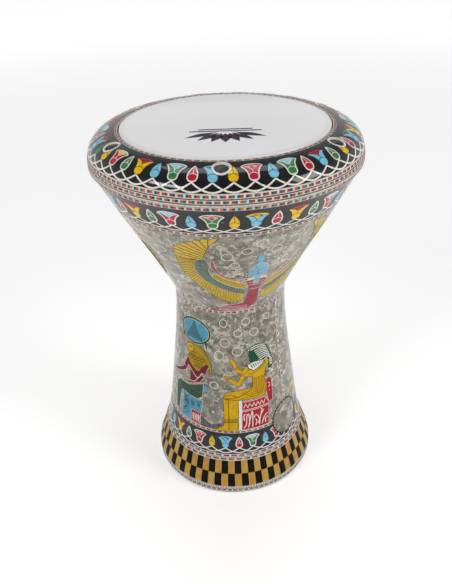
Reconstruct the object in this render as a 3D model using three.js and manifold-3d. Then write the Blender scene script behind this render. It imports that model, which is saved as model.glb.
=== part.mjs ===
// Darbuka: a goblet drum with a cast aluminium shell, a plastic head held down by a cast clamp ring and six
// cap screws, and a mosaic skin of inlaid bands. Millimetres, +Z up. The origin is the centre of the circle
// that the foot stands on, and the front of the drum faces -Y.
import * as THREE from "three";
import { mergeVertices } from "three/addons/utils/BufferGeometryUtils.js";
import Module from "manifold-3d";

const wasm = await Module();
wasm.setup();

// ---- Driving dimensions ----
const HEIGHT = 430; // floor to playing surface
const RIM_RADIUS = 140; // widest circle, at the shoulder
const RIM_HEIGHT = 399; // where that circle lies
const NECK_RADIUS = 62.4; // narrowest circle
const SKIN = 1.5; // thickness of the mosaic skin
const GAP = 0.3; // glue line or clearance between two pieces that meet
const WALL = 4.5; // cast wall behind the skin
const SEGMENTS = 36; // facets round every turned piece
// Facets of the round details.
const SIDES = { medallion: 28, well: 18, head: 16, hole: 12, shank: 10, socket: 6 };
const OUTLINE_STEPS = 600; // steps along the curve of the foot and neck
const SHOULDER_STEPS = 8; // steps round the turn from the bowl to the rim
const LAP = 1; // how far a solid passes the face where it joins or cuts another
const WELD = 1e-4; // points closer than this are one point

// ---- The decorated outline, from the foot to the clamp ring's inner edge ----
const FOOT_CURVE = [
  [96.4, 0], [98.8, 6], [98, 14], [89.8, 40], [84.3, 55], [80.3, 75], [76.2, 105], [69.3, 160], [63.6, 215],
  [NECK_RADIUS, 235], [64.2, 251], [69, 262],
];
const CONE_END = [138.4, 396];
const CROWN = { centre: 104, power: 2.5, rise: 30.3, stationHeights: [416, 421, 425], stationRadius: 119 };
const BAND = { // heights of the edges between neighbouring bands of the skin
  foot: 0.3, checkLow: 12.1, checkMid: 28.6, checkTop: 44.8, lotusFoot: 52.9, lotusFootTop: 81, stem: 85,
  neck: 240.5, bowl: 244, bowlTop: 362.5, lotusBowl: 366, shoulder: 395.5, seam: 401.2,
};
const RING = { bottom: 402.3, stripMid: 406.5, lotus: 411.2, lotusEnd: 110.6, inner: 107.1 };

// ---- The head and its clamp ----
const FILM = 0.4; // film thickness
const COLLAR = { inner: 99.4, outer: 105, top: 429.3 }; // the raised bearing edge of the shell
const COLLAR_BEND = [[0, -1.4], [-0.9, -0.2], [-2.4, 0]]; // its rounded edge, from its outer top corner
const COLLAR_SLOPE = [[0.8, -1.2], [0, -4]]; // and the slope inside it, from its inner top corner
const FILM_BEND = [[-1.2, 0], [0.6, -0.6], [1.3, -2.1]]; // the film's bend, from the collar's outer radius
const FILM_DRAPE = 1.5; // how far the film stands off the collar at the hoop
const FLANGE = { top: BAND.seam, thickness: 8 };
const FOOT_EDGE = { width: 5.5, height: 5 }; // flat that the drum stands on, and its slope up to the wall
const HOOP = { inner: 105.6, outer: 110.8, wall: 0.9, low: 412.5, innerTop: 417, outerTop: 421.5, floor: 1.2,
  resinTop: 414.8 };
const FILM_END = { radius: 107.8, height: 415.2 }; // where the film's edge is potted in the hoop
const POCKET = 111.6; // radius of the ring's pocket round the hoop
const SCREWS = { count: 6, circle: 120, turn: -2 };
const SCREW = { shank: 3, length: 30, head: 5, headHeight: 6, socketFlats: 5, socketDepth: 3, seat: 414 };
const WASHER = { inner: 3.3, outer: 6, thickness: 1.4 };
const WELL = { radius: 6.3, hole: 3.5 }; // the counterbore and through hole in the clamp ring
const TAPPING = { radius: 3.3, low: 382.5 }; // the screw's hole in the shell, drawn at its major diameter
const BOSS = { radius: 10.5, low: 380 };
const COLLAR_RING = { inner: 6.6, outer: 8.6 }; // the white ring let into the skin round each screw well

// ---- The seam strip and the medallion on the stem ----
const SEAM = { turn: 53, width: 3.6 };
const MEDALLION = { turn: 52, height: 81, radius: 23.5, border: 2.1 };

const MATERIALS = {
  cast: new THREE.MeshStandardMaterial({ color: 0xa9abad, roughness: 0.45, metalness: 0.9 }),
  steel: new THREE.MeshStandardMaterial({ color: 0x8e9093, roughness: 0.3, metalness: 1 }),
  resin: new THREE.MeshStandardMaterial({ color: 0xa98a55, roughness: 0.4, metalness: 0 }),
  film: new THREE.MeshStandardMaterial({ color: 0xe4e4e6, roughness: 0.35, metalness: 0 }),
  pearl: new THREE.MeshStandardMaterial({ color: 0xb9b3a4, roughness: 0.25, metalness: 0.1 }),
  black: new THREE.MeshStandardMaterial({ color: 0x19191c, roughness: 0.2, metalness: 0 }),
  strip: new THREE.MeshStandardMaterial({ color: 0xd9d3c4, roughness: 0.3, metalness: 0 }),
  checks: new THREE.MeshStandardMaterial({ color: 0xb8892f, roughness: 0.3, metalness: 0.1 }),
  white: new THREE.MeshStandardMaterial({ color: 0xe8e4da, roughness: 0.35, metalness: 0 }),
};

const drum = new THREE.Group();

// ---- Outline ----
const point = (r, z) => new THREE.Vector2(r, z);
const goblet = [
  ...new THREE.SplineCurve(FOOT_CURVE.map(([r, z]) => point(r, z))).getPoints(OUTLINE_STEPS),
  ...new THREE.EllipseCurve(CONE_END[0], RIM_HEIGHT, RIM_RADIUS - CONE_END[0], RIM_HEIGHT - CONE_END[1],
    -Math.PI / 2, 0).getPoints(SHOULDER_STEPS),
  point(RIM_RADIUS, RING.bottom),
];

/** Radius at a height on a path that climbs all the way. */
function radiusOn(path, z) {
  const i = Math.max(1, path.findIndex((p) => p.y >= z));
  const [a, b] = [path[i - 1], path[i]];
  return a.x + ((b.x - a.x) * (z - a.y)) / (b.y - a.y);
}

/** Height of the clamp ring's crown at a radius. */
function crownHeight(r) {
  const share = Math.pow(Math.max(0, r - CROWN.centre) / (RIM_RADIUS - CROWN.centre), CROWN.power);
  return RIM_HEIGHT + CROWN.rise * Math.pow(1 - share, 1 / CROWN.power);
}

/** Radius of the crown at a height. */
function crownRadius(z) {
  const share = Math.pow((z - RIM_HEIGHT) / CROWN.rise, CROWN.power);
  return CROWN.centre + (RIM_RADIUS - CROWN.centre) * Math.pow(1 - share, 1 / CROWN.power);
}

const onGoblet = (z) => point(radiusOn(goblet, z), z);
const onCrown = (z) => point(crownRadius(z), z);

/** The path moved sideways by a distance, to its left where the distance is positive. */
function offset(path, distance) {
  return path.map((p, i) => {
    const before = path[Math.max(0, i - 1)];
    const after = path[Math.min(path.length - 1, i + 1)];
    const a = (i ? p.clone().sub(before) : after.clone().sub(p)).normalize();
    const b = (i < path.length - 1 ? after.clone().sub(p) : a.clone()).normalize();
    const normal = point(-a.y - b.y, a.x + b.x).normalize();
    const spread = normal.dot(point(-a.y, a.x));
    return p.clone().addScaledVector(normal, distance / spread);
  });
}

/** The path with both ends drawn in by a distance. */
function trimmed(path, distance) {
  const step = (from, to) => from.clone().add(to.clone().sub(from).setLength(distance));
  const n = path.length;
  return [step(path[0], path[1]), ...path.slice(1, n - 1), step(path[n - 1], path[n - 2])];
}

// ---- Solids ----
/** A closed profile turned about Z. Angle zero is the front and positive angles run towards +X. */
function turned(profile) {
  const loop = THREE.ShapeUtils.area(profile) < 0 ? profile.slice().reverse() : profile.slice();
  const onAxis = loop.some((p) => p.x === 0);
  while (onAxis && !(loop[0].x === 0 && loop[loop.length - 1].x === 0)) {
    loop.push(loop.shift());
  }
  if (!onAxis) {
    loop.push(loop[0].clone());
  }
  return new THREE.LatheGeometry(loop, SEGMENTS).rotateX(Math.PI / 2);
}

/** The solid that a closed geometry encloses. */
function solidOf(geometry) {
  const bare = geometry.clone();
  bare.deleteAttribute("normal");
  bare.deleteAttribute("uv");
  const merged = mergeVertices(bare, WELD);
  return new wasm.Manifold(new wasm.Mesh({
    numProp: 3,
    vertProperties: new Float32Array(merged.attributes.position.array),
    triVerts: new Uint32Array(merged.index.array),
  }));
}

/** The geometry of a solid's surface. */
function geometryOf(solid) {
  const { vertProperties, triVerts } = solid.getMesh();
  const geometry = new THREE.BufferGeometry();
  geometry.setAttribute("position", new THREE.BufferAttribute(vertProperties, 3));
  geometry.setIndex(new THREE.BufferAttribute(triVerts, 1));
  geometry.computeVertexNormals();
  return geometry;
}

/** An upright cylinder between two heights on an axis at (x, y). */
function upright(radius, low, high, [x, y], sides) {
  const shape = new THREE.CylinderGeometry(radius, radius, high - low, sides).rotateX(Math.PI / 2);
  return solidOf(shape.translate(x, y, (low + high) / 2));
}

/** A cylinder on a level axis that points out of the drum at an angle from the front. */
function level(radius, height, degrees) {
  const reach = 2 * MEDALLION.radius;
  const shape = new THREE.CylinderGeometry(radius, radius, reach, SIDES.medallion);
  shape.translate(0, -radiusOn(goblet, height), 0);
  return solidOf(shape.translate(0, 0, height).rotateZ(THREE.MathUtils.degToRad(degrees)));
}

/** Adds a named node to the drum. */
function add(name, geometry, material) {
  const mesh = new THREE.Mesh(geometry, material);
  mesh.name = name;
  drum.add(mesh);
}

/** The closed profile of the piece of skin that covers an outline between two of its points. */
function skin(outline, first, last) {
  const outer = trimmed(outline.slice(first, last + 1), GAP / 2);
  return [...outer, ...trimmed(offset(outline, SKIN).slice(first, last + 1), GAP / 2).reverse()];
}

// Every stretch of the outline has one list of stations, so that the skin and the casting behind it have
// parallel facets.
const STRETCH = {
  foot_rim_band: [BAND.foot, 6, BAND.checkLow],
  foot_check_band: [BAND.checkLow, BAND.checkMid, BAND.checkTop],
  foot_double_strip: [BAND.checkTop, BAND.lotusFoot],
  foot_lotus_band: [BAND.lotusFoot, 66, BAND.lotusFootTop],
  stem_base_strip: [BAND.lotusFootTop, BAND.stem],
  stem_skin: [BAND.stem, 110, 160, 205, BAND.neck],
  neck_strip: [BAND.neck, BAND.bowl],
  bowl_skin: [BAND.bowl, 251, 262, BAND.bowlTop],
  bowl_strip: [BAND.bowlTop, BAND.lotusBowl],
  bowl_lotus_band: [BAND.lotusBowl, BAND.shoulder],
  shoulder_strip: [BAND.shoulder, 398, BAND.seam],
};
const stations = [...new Set(Object.values(STRETCH).flat())];
const gobletPath = stations.map(onGoblet);
const crownPath = [
  ...[RING.bottom, RING.stripMid, RING.lotus, ...CROWN.stationHeights].map(onCrown),
  ...[CROWN.stationRadius, RING.lotusEnd, RING.inner].map((r) => point(r, crownHeight(r))),
];

/** The skin of the goblet between two of its stations. */
const gobletSkinProfile = (low, high) => skin(gobletPath, stations.indexOf(low), stations.indexOf(high));

const screwPlaces = Array.from({ length: SCREWS.count }, (_, i) => {
  const angle = THREE.MathUtils.degToRad((360 / SCREWS.count) * i + SCREWS.turn);
  return [SCREWS.circle * Math.sin(angle), -SCREWS.circle * Math.cos(angle)];
});

// ---- Shell ----
function shell() {
  const outer = offset(gobletPath, SKIN + GAP);
  const wall = offset(gobletPath, SKIN + GAP + WALL);
  const shelf = FLANGE.top - FLANGE.thickness;
  const bowl = wall.filter((p) => p.y < shelf && p.y > FOOT_EDGE.height);
  const profile = [
    point(outer[0].x, 0), ...outer.slice(1, -1), point(outer[outer.length - 1].x, FLANGE.top),
    point(COLLAR.outer, FLANGE.top), ...COLLAR_BEND.map(([r, z]) => point(COLLAR.outer + r, COLLAR.top + z)),
    ...COLLAR_SLOPE.map(([r, z]) => point(COLLAR.inner + r, COLLAR.top + z)), point(COLLAR.inner, shelf),
    point(radiusOn(wall, shelf), shelf), ...bowl.reverse(), point(outer[0].x - FOOT_EDGE.width, 0),
  ];
  const inWall = (z) => point(radiusOn(wall, z) + WALL / 2, z);
  const bossTop = shelf + LAP;
  const bossSpace = solidOf(turned([point(COLLAR.inner, bossTop), point(COLLAR.inner, BOSS.low),
    inWall(BOSS.low), inWall(bossTop)]));
  let solid = solidOf(turned(profile));
  for (const place of screwPlaces) {
    solid = solid.add(upright(BOSS.radius, BOSS.low, bossTop, place, SIDES.hole).intersect(bossSpace));
  }
  for (const place of screwPlaces) {
    solid = solid.subtract(upright(TAPPING.radius, TAPPING.low, FLANGE.top + LAP, place, SIDES.hole));
  }
  add("shell", geometryOf(solid), MATERIALS.cast);
}

// ---- The mosaic skin below the seam ----
function gobletSkin() {
  const { pearl, black, strip, checks } = MATERIALS;
  const look = {
    foot_rim_band: pearl, foot_check_band: checks, foot_lotus_band: black, bowl_lotus_band: black,
    stem_skin: pearl, bowl_skin: pearl,
  };
  const disc = level(MEDALLION.radius + GAP, MEDALLION.height, MEDALLION.turn);
  const seamBox = (width) => {
    const [low, high] = [MEDALLION.height, BAND.neck + LAP];
    const [near, far] = [NECK_RADIUS / 2, RIM_RADIUS];
    const shape = new THREE.BoxGeometry(width, far - near, high - low);
    shape.translate(0, -(near + far) / 2, (low + high) / 2);
    return solidOf(shape.rotateZ(THREE.MathUtils.degToRad(SEAM.turn)));
  };
  for (const [name, heights] of Object.entries(STRETCH)) {
    let solid = solidOf(turned(gobletSkinProfile(heights[0], heights[heights.length - 1])));
    if (["foot_lotus_band", "stem_base_strip", "stem_skin"].includes(name)) {
      solid = solid.subtract(disc);
    }
    if (name === "stem_skin") {
      add("stem_seam_strip", geometryOf(solid.intersect(seamBox(SEAM.width))), strip);
      solid = solid.subtract(seamBox(SEAM.width + 2 * GAP));
    }
    add(name, geometryOf(solid), look[name] ?? strip);
  }
  const layer = solidOf(turned(gobletSkinProfile(BAND.lotusFoot, BAND.neck)));
  const middle = MEDALLION.radius - MEDALLION.border;
  const plate = level(middle, MEDALLION.height, MEDALLION.turn);
  const hole = level(middle + GAP, MEDALLION.height, MEDALLION.turn);
  const rim = level(MEDALLION.radius, MEDALLION.height, MEDALLION.turn).subtract(hole);
  add("medallion", geometryOf(layer.intersect(plate)), pearl);
  add("medallion_border", geometryOf(layer.intersect(rim)), strip);
}

// ---- Clamp ring ----
function clampRing() {
  const outer = offset(crownPath, SKIN + GAP);
  const lip = HOOP.outerTop + GAP;
  const profile = [point(POCKET, RING.bottom), point(outer[0].x, RING.bottom), ...outer.slice(1, -1),
    point(RING.inner, outer[outer.length - 1].y), point(RING.inner, lip), point(POCKET, lip)];
  let solid = solidOf(turned(profile));
  const floor = SCREW.seat - WASHER.thickness - 2 * GAP;
  for (const place of screwPlaces) {
    solid = solid.subtract(upright(WELL.radius, floor, HEIGHT + LAP, place, SIDES.well));
    solid = solid.subtract(upright(WELL.hole, RING.bottom - LAP, floor + LAP, place, SIDES.hole));
  }
  add("clamp_ring", geometryOf(solid), MATERIALS.cast);
}

function ringSkin() {
  const last = crownPath.length - 1;
  add("ring_lower_strip", turned(skin(crownPath, 0, 1)), MATERIALS.strip);
  add("ring_upper_strip", turned(skin(crownPath, 1, 2)), MATERIALS.strip);
  add("ring_inner_strip", turned(skin(crownPath, last - 1, last)), MATERIALS.strip);
  const band = solidOf(turned(skin(crownPath, 2, last - 1)));
  let cut = band;
  screwPlaces.forEach((place, i) => {
    const tool = (radius) => upright(radius, RING.bottom, HEIGHT + LAP, place, SIDES.well);
    const ring = tool(COLLAR_RING.outer).subtract(tool(COLLAR_RING.inner));
    add(`screw_collar_${i + 1}`, geometryOf(band.intersect(ring)), MATERIALS.white);
    cut = cut.subtract(tool(COLLAR_RING.outer + GAP));
  });
  add("ring_lotus_band", geometryOf(cut), MATERIALS.black);
}

// ---- Head ----
function head() {
  const over = [point(0, HEIGHT), ...FILM_BEND.map(([r, z]) => point(COLLAR.outer + r, HEIGHT + z)),
    point(COLLAR.outer + FILM_DRAPE, HOOP.outerTop), point(FILM_END.radius, FILM_END.height)];
  const under = offset(over, -FILM);
  under[0].x = 0;
  add("head_film", turned([...over, ...under.reverse()]), MATERIALS.film);
  const { inner, outer, wall, low, innerTop, outerTop, floor, resinTop } = HOOP;
  const channel = low + floor;
  add("head_hoop", turned([
    point(inner, low), point(outer, low), point(outer, outerTop), point(outer - wall, outerTop),
    point(outer - wall, channel), point(inner + wall, channel), point(inner + wall, innerTop),
    point(inner, innerTop),
  ]), MATERIALS.cast);
  const [near, far] = [inner + wall + GAP, outer - wall - GAP];
  add("hoop_resin", turned([
    point(near, channel + GAP), point(far, channel + GAP), point(far, resinTop), point(near, resinTop),
  ]), MATERIALS.resin);
}

// ---- Screws and washers ----
function screws() {
  const { shank, length, head: cap, headHeight, socketFlats, socketDepth, seat } = SCREW;
  const top = seat + headHeight;
  const socketRadius = socketFlats / Math.sqrt(3);
  const washerTop = seat - GAP;
  const washerLow = washerTop - WASHER.thickness;
  screwPlaces.forEach((place, i) => {
    const screw = upright(cap, seat, top, place, SIDES.head)
      .add(upright(shank, seat - length, seat + LAP, place, SIDES.shank))
      .subtract(upright(socketRadius, top - socketDepth, top + LAP, place, SIDES.socket));
    const washer = upright(WASHER.outer, washerLow, washerTop, place, SIDES.head)
      .subtract(upright(WASHER.inner, washerLow - LAP, washerTop + LAP, place, SIDES.shank));
    add(`tension_screw_${i + 1}`, geometryOf(screw), MATERIALS.steel);
    add(`screw_washer_${i + 1}`, geometryOf(washer), MATERIALS.steel);
  });
}

shell();
gobletSkin();
clampRing();
ringSkin();
head();
screws();

export default drum;
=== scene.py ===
"""Looks of an inlaid goblet drum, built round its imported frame.

The drum's outline is read from the skin nodes of the frame. Every band of the skin is turned on that
outline at full roundness, and its inlays are cut flat, as a marquetry maker cuts them, and then laid on the
curved surface. All lengths are in metres, unless a comment says millimetres. Azimuths are measured from the
front (-Y) towards +X.
"""

from __future__ import annotations

import logging
import math
import random
from dataclasses import dataclass, field
from enum import Enum
from typing import Callable, Iterable, Sequence

import bpy
import numpy as np
from mathutils import Matrix, Vector


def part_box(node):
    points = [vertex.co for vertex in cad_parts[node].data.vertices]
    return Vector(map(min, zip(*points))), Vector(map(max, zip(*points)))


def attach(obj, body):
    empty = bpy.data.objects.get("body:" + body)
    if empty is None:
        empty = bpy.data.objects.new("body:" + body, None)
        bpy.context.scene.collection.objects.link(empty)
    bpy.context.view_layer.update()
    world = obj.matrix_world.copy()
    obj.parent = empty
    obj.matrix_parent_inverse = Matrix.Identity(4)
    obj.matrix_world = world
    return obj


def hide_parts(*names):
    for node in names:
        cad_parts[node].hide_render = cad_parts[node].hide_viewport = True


LOG = logging.getLogger("drum")
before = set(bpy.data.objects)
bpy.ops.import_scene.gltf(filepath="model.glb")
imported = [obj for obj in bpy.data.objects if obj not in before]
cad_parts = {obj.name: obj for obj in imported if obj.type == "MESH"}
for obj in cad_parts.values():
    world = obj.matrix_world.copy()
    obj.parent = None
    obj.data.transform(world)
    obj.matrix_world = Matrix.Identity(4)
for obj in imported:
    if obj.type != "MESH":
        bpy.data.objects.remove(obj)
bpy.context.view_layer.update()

Flat = tuple[float, float]
Colour = tuple[float, float, float]
Piece = bpy.types.Object
Socket = bpy.types.NodeSocket

MM = 0.001
ROUND_STEPS = 216  # facets round a turned piece
SMALL_STEPS = 40  # facets round a screw or its well
COLLAR_STEPS = 48  # facets round a washer or a collar
ROUND_ANGLE = math.radians(35.0)  # the sharpest angle that still looks round
SKIN_DEPTH = 1.4 * MM
INLAY_DEPTH = 0.6 * MM  # how far an inlay is let into the skin
FILL_LIFT = 0.1 * MM  # how proud a coloured inlay stands
BAND_STEP = 2 * MM  # the tallest facet of a turned band
SLICE = 4.0 * MM  # the largest flat facet of an inlay
PETAL_SLICE = (3.5 * MM, 3 * MM)  # the widest and tallest facet of a flower
CELL_SLICE = 0.7 * MM  # the tallest facet of a mosaic cell
LAYER = 0.012 * MM  # how far each region of a picture lies above the one before
LAP = 0.12 * MM  # how far a band's ground runs on under its neighbours
BELOW, ABOVE = 0.4, 0.45  # heights that clear the ring's skin on either side

SHELL_BODY = "drum_shell"
RING_BODY = "ring"
SKIN_NODES = (
    "foot_rim_band", "foot_check_band", "foot_double_strip", "foot_lotus_band", "stem_base_strip",
    "stem_skin", "neck_strip", "bowl_skin", "bowl_strip", "bowl_lotus_band", "shoulder_strip",
    "ring_lower_strip", "ring_upper_strip", "ring_lotus_band", "ring_inner_strip",
)
SCREW_COUNT = 6
CELL_SHARE = 0.36  # a cell's width, as a share of a pair and its gap
SWAP_CHANCE, ORANGE_CHANCE, TEAL_CHANCE = 0.16, 0.12, 0.14


# ---------------------------------------------------------------- modelling


def only(piece: Piece) -> None:
    """Selects one object alone and makes it active."""
    bpy.ops.object.select_all(action="DESELECT")
    piece.select_set(True)
    bpy.context.view_layer.objects.active = piece


def corners(piece: Piece) -> np.ndarray:
    """The piece's vertices."""
    flat = np.empty(len(piece.data.vertices) * 3)
    piece.data.vertices.foreach_get("co", flat)
    return flat.reshape(-1, 3)


def set_corners(piece: Piece, places: np.ndarray) -> None:
    """Moves the piece's vertices."""
    piece.data.vertices.foreach_set("co", np.asarray(places, dtype=float).ravel())
    piece.data.update()


def in_edit(piece: Piece, *steps: Callable[[], object]) -> None:
    """Runs edit-mode operators on the whole piece.

    Args:
        piece: The mesh object to edit.
        steps: The operators, each called with everything selected.
    """
    only(piece)
    bpy.ops.object.mode_set(mode="EDIT")
    for step in steps:
        bpy.ops.mesh.select_all(action="SELECT")
        step()
    bpy.ops.object.mode_set(mode="OBJECT")


def apply(piece: Piece, kind: str, **settings: object) -> None:
    """Adds a modifier and applies it.

    Args:
        piece: The object that gets it.
        kind: The modifier's type.
        settings: Its values.
    """
    only(piece)
    modifier = piece.modifiers.new(kind.lower(), kind)
    for key, value in settings.items():
        setattr(modifier, key, value)
    bpy.ops.object.modifier_apply(modifier=modifier.name)


def smooth(piece: Piece) -> Piece:
    """Shades the piece smooth except at corners."""
    only(piece)
    bpy.ops.object.shade_smooth_by_angle(angle=ROUND_ANGLE)
    return piece


def fresh(name: str, primitive: Callable[..., object], **settings: object) -> Piece:
    """Adds a new piece.

    Args:
        name: Its name.
        primitive: The operator that makes it.
        settings: The operator's values.

    Returns:
        The piece.
    """
    bpy.ops.object.select_all(action="DESELECT")
    primitive(**settings)
    bpy.context.object.name = name
    return bpy.context.object


def turn(name: str, profile: Sequence[Flat], steps: int = ROUND_STEPS) -> Piece:
    """Turns a closed profile about Z, as on a lathe.

    Args:
        name: The piece's name.
        profile: Its corners as (radius, height).
        steps: Facets round the piece.

    Returns:
        The turned solid.
    """
    piece = fresh(name, bpy.ops.mesh.primitive_circle_add, vertices=len(profile))
    set_corners(piece, np.array([(r, 0.0, z) for r, z in profile]))
    in_edit(
        piece,
        lambda: bpy.ops.mesh.spin(steps=steps, angle=math.tau, center=(0, 0, 0), axis=(0, 0, 1)),
        lambda: bpy.ops.mesh.remove_doubles(threshold=1e-6),
        lambda: bpy.ops.mesh.delete_loose(),
        lambda: bpy.ops.mesh.normals_make_consistent(inside=False),
    )
    return smooth(piece)


def plate(name: str, outline: Sequence[Flat]) -> Piece:
    """Cuts a flat sheet to a closed outline.

    Args:
        name: The sheet's name.
        outline: Its corners.

    Returns:
        The sheet, facing up.
    """
    points = np.array(outline, dtype=float)
    ahead = np.roll(points, -1, axis=0)
    if np.sum(points[:, 0] * ahead[:, 1] - ahead[:, 0] * points[:, 1]) < 0:
        points = points[::-1]
    sheet = fresh(name, bpy.ops.mesh.primitive_circle_add, vertices=len(points), fill_type="NGON")
    set_corners(sheet, np.column_stack([points, np.zeros(len(points))]))
    in_edit(sheet, lambda: bpy.ops.mesh.quads_convert_to_tris(ngon_method="BEAUTY"))
    return sheet


def ribbon(name: str, line: Sequence[Flat], width: float | Sequence[float], closed: bool = False) -> Piece:
    """Lays a flat ribbon along a line.

    Args:
        name: The ribbon's name.
        line: Points along its middle.
        width: Its width, or one for each point.
        closed: Whether it runs back into its start.

    Returns:
        The ribbon, facing up.
    """
    middle = np.array(list(line) + ([line[0]] if closed else []), dtype=float)
    before = np.vstack([middle[-2] if closed else middle[0], middle[:-1]])
    after = np.vstack([middle[1:], middle[1] if closed else middle[-1]])
    along = after - before
    along /= np.maximum(np.linalg.norm(along, axis=1, keepdims=True), 1e-12)
    widths = np.reshape(np.broadcast_to(width, len(middle)), (-1, 1))
    side = np.column_stack([-along[:, 1], along[:, 0]]) * widths / 2
    grid = {"x_subdivisions": len(middle) - 1, "y_subdivisions": 1}
    strip = fresh(name, bpy.ops.mesh.primitive_grid_add, **grid)
    rows = np.vstack([middle - side, middle + side])
    set_corners(strip, np.column_stack([rows, np.zeros(len(rows))]))
    if closed:
        in_edit(strip, lambda: bpy.ops.mesh.remove_doubles(threshold=1e-7))
    return strip


def sliced(sheet: Piece, across: float = SLICE, along: float = SLICE) -> Piece:
    """Cuts a flat sheet into small facets, so that it can follow a curved surface.

    Args:
        sheet: The flat sheet.
        across: The widest facet.
        along: The tallest facet.

    Returns:
        The same sheet.
    """
    places = corners(sheet)
    low, high = places.min(axis=0), places.max(axis=0)
    cuts = []
    for axis, step in ((0, across), (1, along)):
        normal = (1.0, 0.0, 0.0) if axis == 0 else (0.0, 1.0, 0.0)
        count = int((high[axis] - low[axis]) / step)
        for i in range(1, count + 1):
            value = low[axis] + (high[axis] - low[axis]) * i / (count + 1)
            point = tuple(value * n for n in normal)
            cuts.append(lambda co=point, no=normal: bpy.ops.mesh.bisect(plane_co=co, plane_no=no))
    if cuts:
        in_edit(sheet, *cuts)
    return sheet


def copied(piece: Piece, x: float, y: float = 0.0) -> Piece:
    """Copies a piece with a mesh of its own.

    Args:
        piece: The piece to copy.
        x: How far the copy lies from it along X.
        y: How far along Y.

    Returns:
        The copy.
    """
    twin = piece.copy()
    twin.data = piece.data.copy()
    bpy.context.collection.objects.link(twin)
    set_corners(twin, corners(twin) + (x, y, 0.0))
    return twin


def in_row(piece: Piece, count: int, pitch: float) -> None:
    """Repeats a piece's mesh along X."""
    apply(piece, "ARRAY", count=count, use_relative_offset=False, use_constant_offset=True,
          constant_offset_displace=(pitch, 0, 0))


def joined(name: str, pieces: Sequence[Piece]) -> Piece:
    """Joins pieces into one.

    Args:
        name: The new piece's name.
        pieces: What it is joined from.

    Returns:
        The joined piece.
    """
    only(pieces[0])
    for piece in pieces[1:]:
        piece.select_set(True)
    if len(pieces) > 1:
        bpy.ops.object.join()
    whole = bpy.context.view_layer.objects.active
    whole.name = name
    return whole


def scrap(*pieces: Piece) -> None:
    """Throws away patterns and cutters."""
    for piece in pieces:
        bpy.data.objects.remove(piece)


def cut_away(piece: Piece, cutter: Piece, how: str = "DIFFERENCE") -> Piece:
    """Cuts a piece with a tool and leaves the tool as it is."""
    apply(piece, "BOOLEAN", operation=how, object=cutter, solver="EXACT", use_self=True)
    return piece


def curve_through(points: Sequence[Flat], steps: int) -> list[Flat]:
    """A smooth line through points.

    Args:
        points: The points that it passes.
        steps: Pieces between two of them.

    Returns:
        The line's points.
    """
    knots = np.array(points, dtype=float)
    last = len(knots) - 1
    line: list[Flat] = []
    for i in range(last):
        a, b, c, d = (knots[min(max(i + k, 0), last)] for k in (-1, 0, 1, 2))
        for t in np.arange(steps) / steps:
            bend = (2 * a - 5 * b + 4 * c - d) * t**2 + (3 * b - a - 3 * c + d) * t**3
            spot = 0.5 * (2 * b + (c - a) * t + bend)
            line.append((float(spot[0]), float(spot[1])))
    return [*line, (float(knots[-1][0]), float(knots[-1][1]))]


def oval(x: float, y: float, wide: float, tall: float, count: int) -> tuple[Flat, ...]:
    """Points round an oval."""
    steps = [a * math.tau / count for a in range(count)]
    return tuple((x + wide * math.cos(a), y + tall * math.sin(a)) for a in steps)


def scaled(points: Iterable[Flat], size: float) -> list[Flat]:
    """Points multiplied by a size."""
    return [(x * size, y * size) for x, y in points]


def both_sides(half: Sequence[Flat]) -> list[Flat]:
    """An outline from its left half, whose ends lie on the middle line."""
    return list(half) + [(-x, y) for x, y in reversed(half[1:-1])]


# ---------------------------------------------------------------- the frame's outline


def cross_section(node: str) -> list[Flat]:
    """The profile of a turned node of the frame, where it meets the plane Y = 0.

    Args:
        node: The node's name.

    Returns:
        Its corners in order, as (radius, height).
    """
    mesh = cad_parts[node].data
    places = corners(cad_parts[node])
    near = (np.abs(places[:, 1]) < 2e-5) & (places[:, 0] > -2e-5)
    links: dict[Flat, set[Flat]] = {}
    for edge in mesh.edges:
        a, b = edge.vertices
        if near[a] and near[b]:
            ends = [(max(0.0, round(float(places[i, 0]), 5)), round(float(places[i, 2]), 5)) for i in (a, b)]
            if ends[0] != ends[1]:
                links.setdefault(ends[0], set()).add(ends[1])
                links.setdefault(ends[1], set()).add(ends[0])
    start = min(links)
    path = [start]
    while True:
        onward = [p for p in links[path[-1]] if p not in path]
        if not onward:
            return path
        path.append(min(onward, key=lambda p: math.dist(p, path[-1])))


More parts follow.
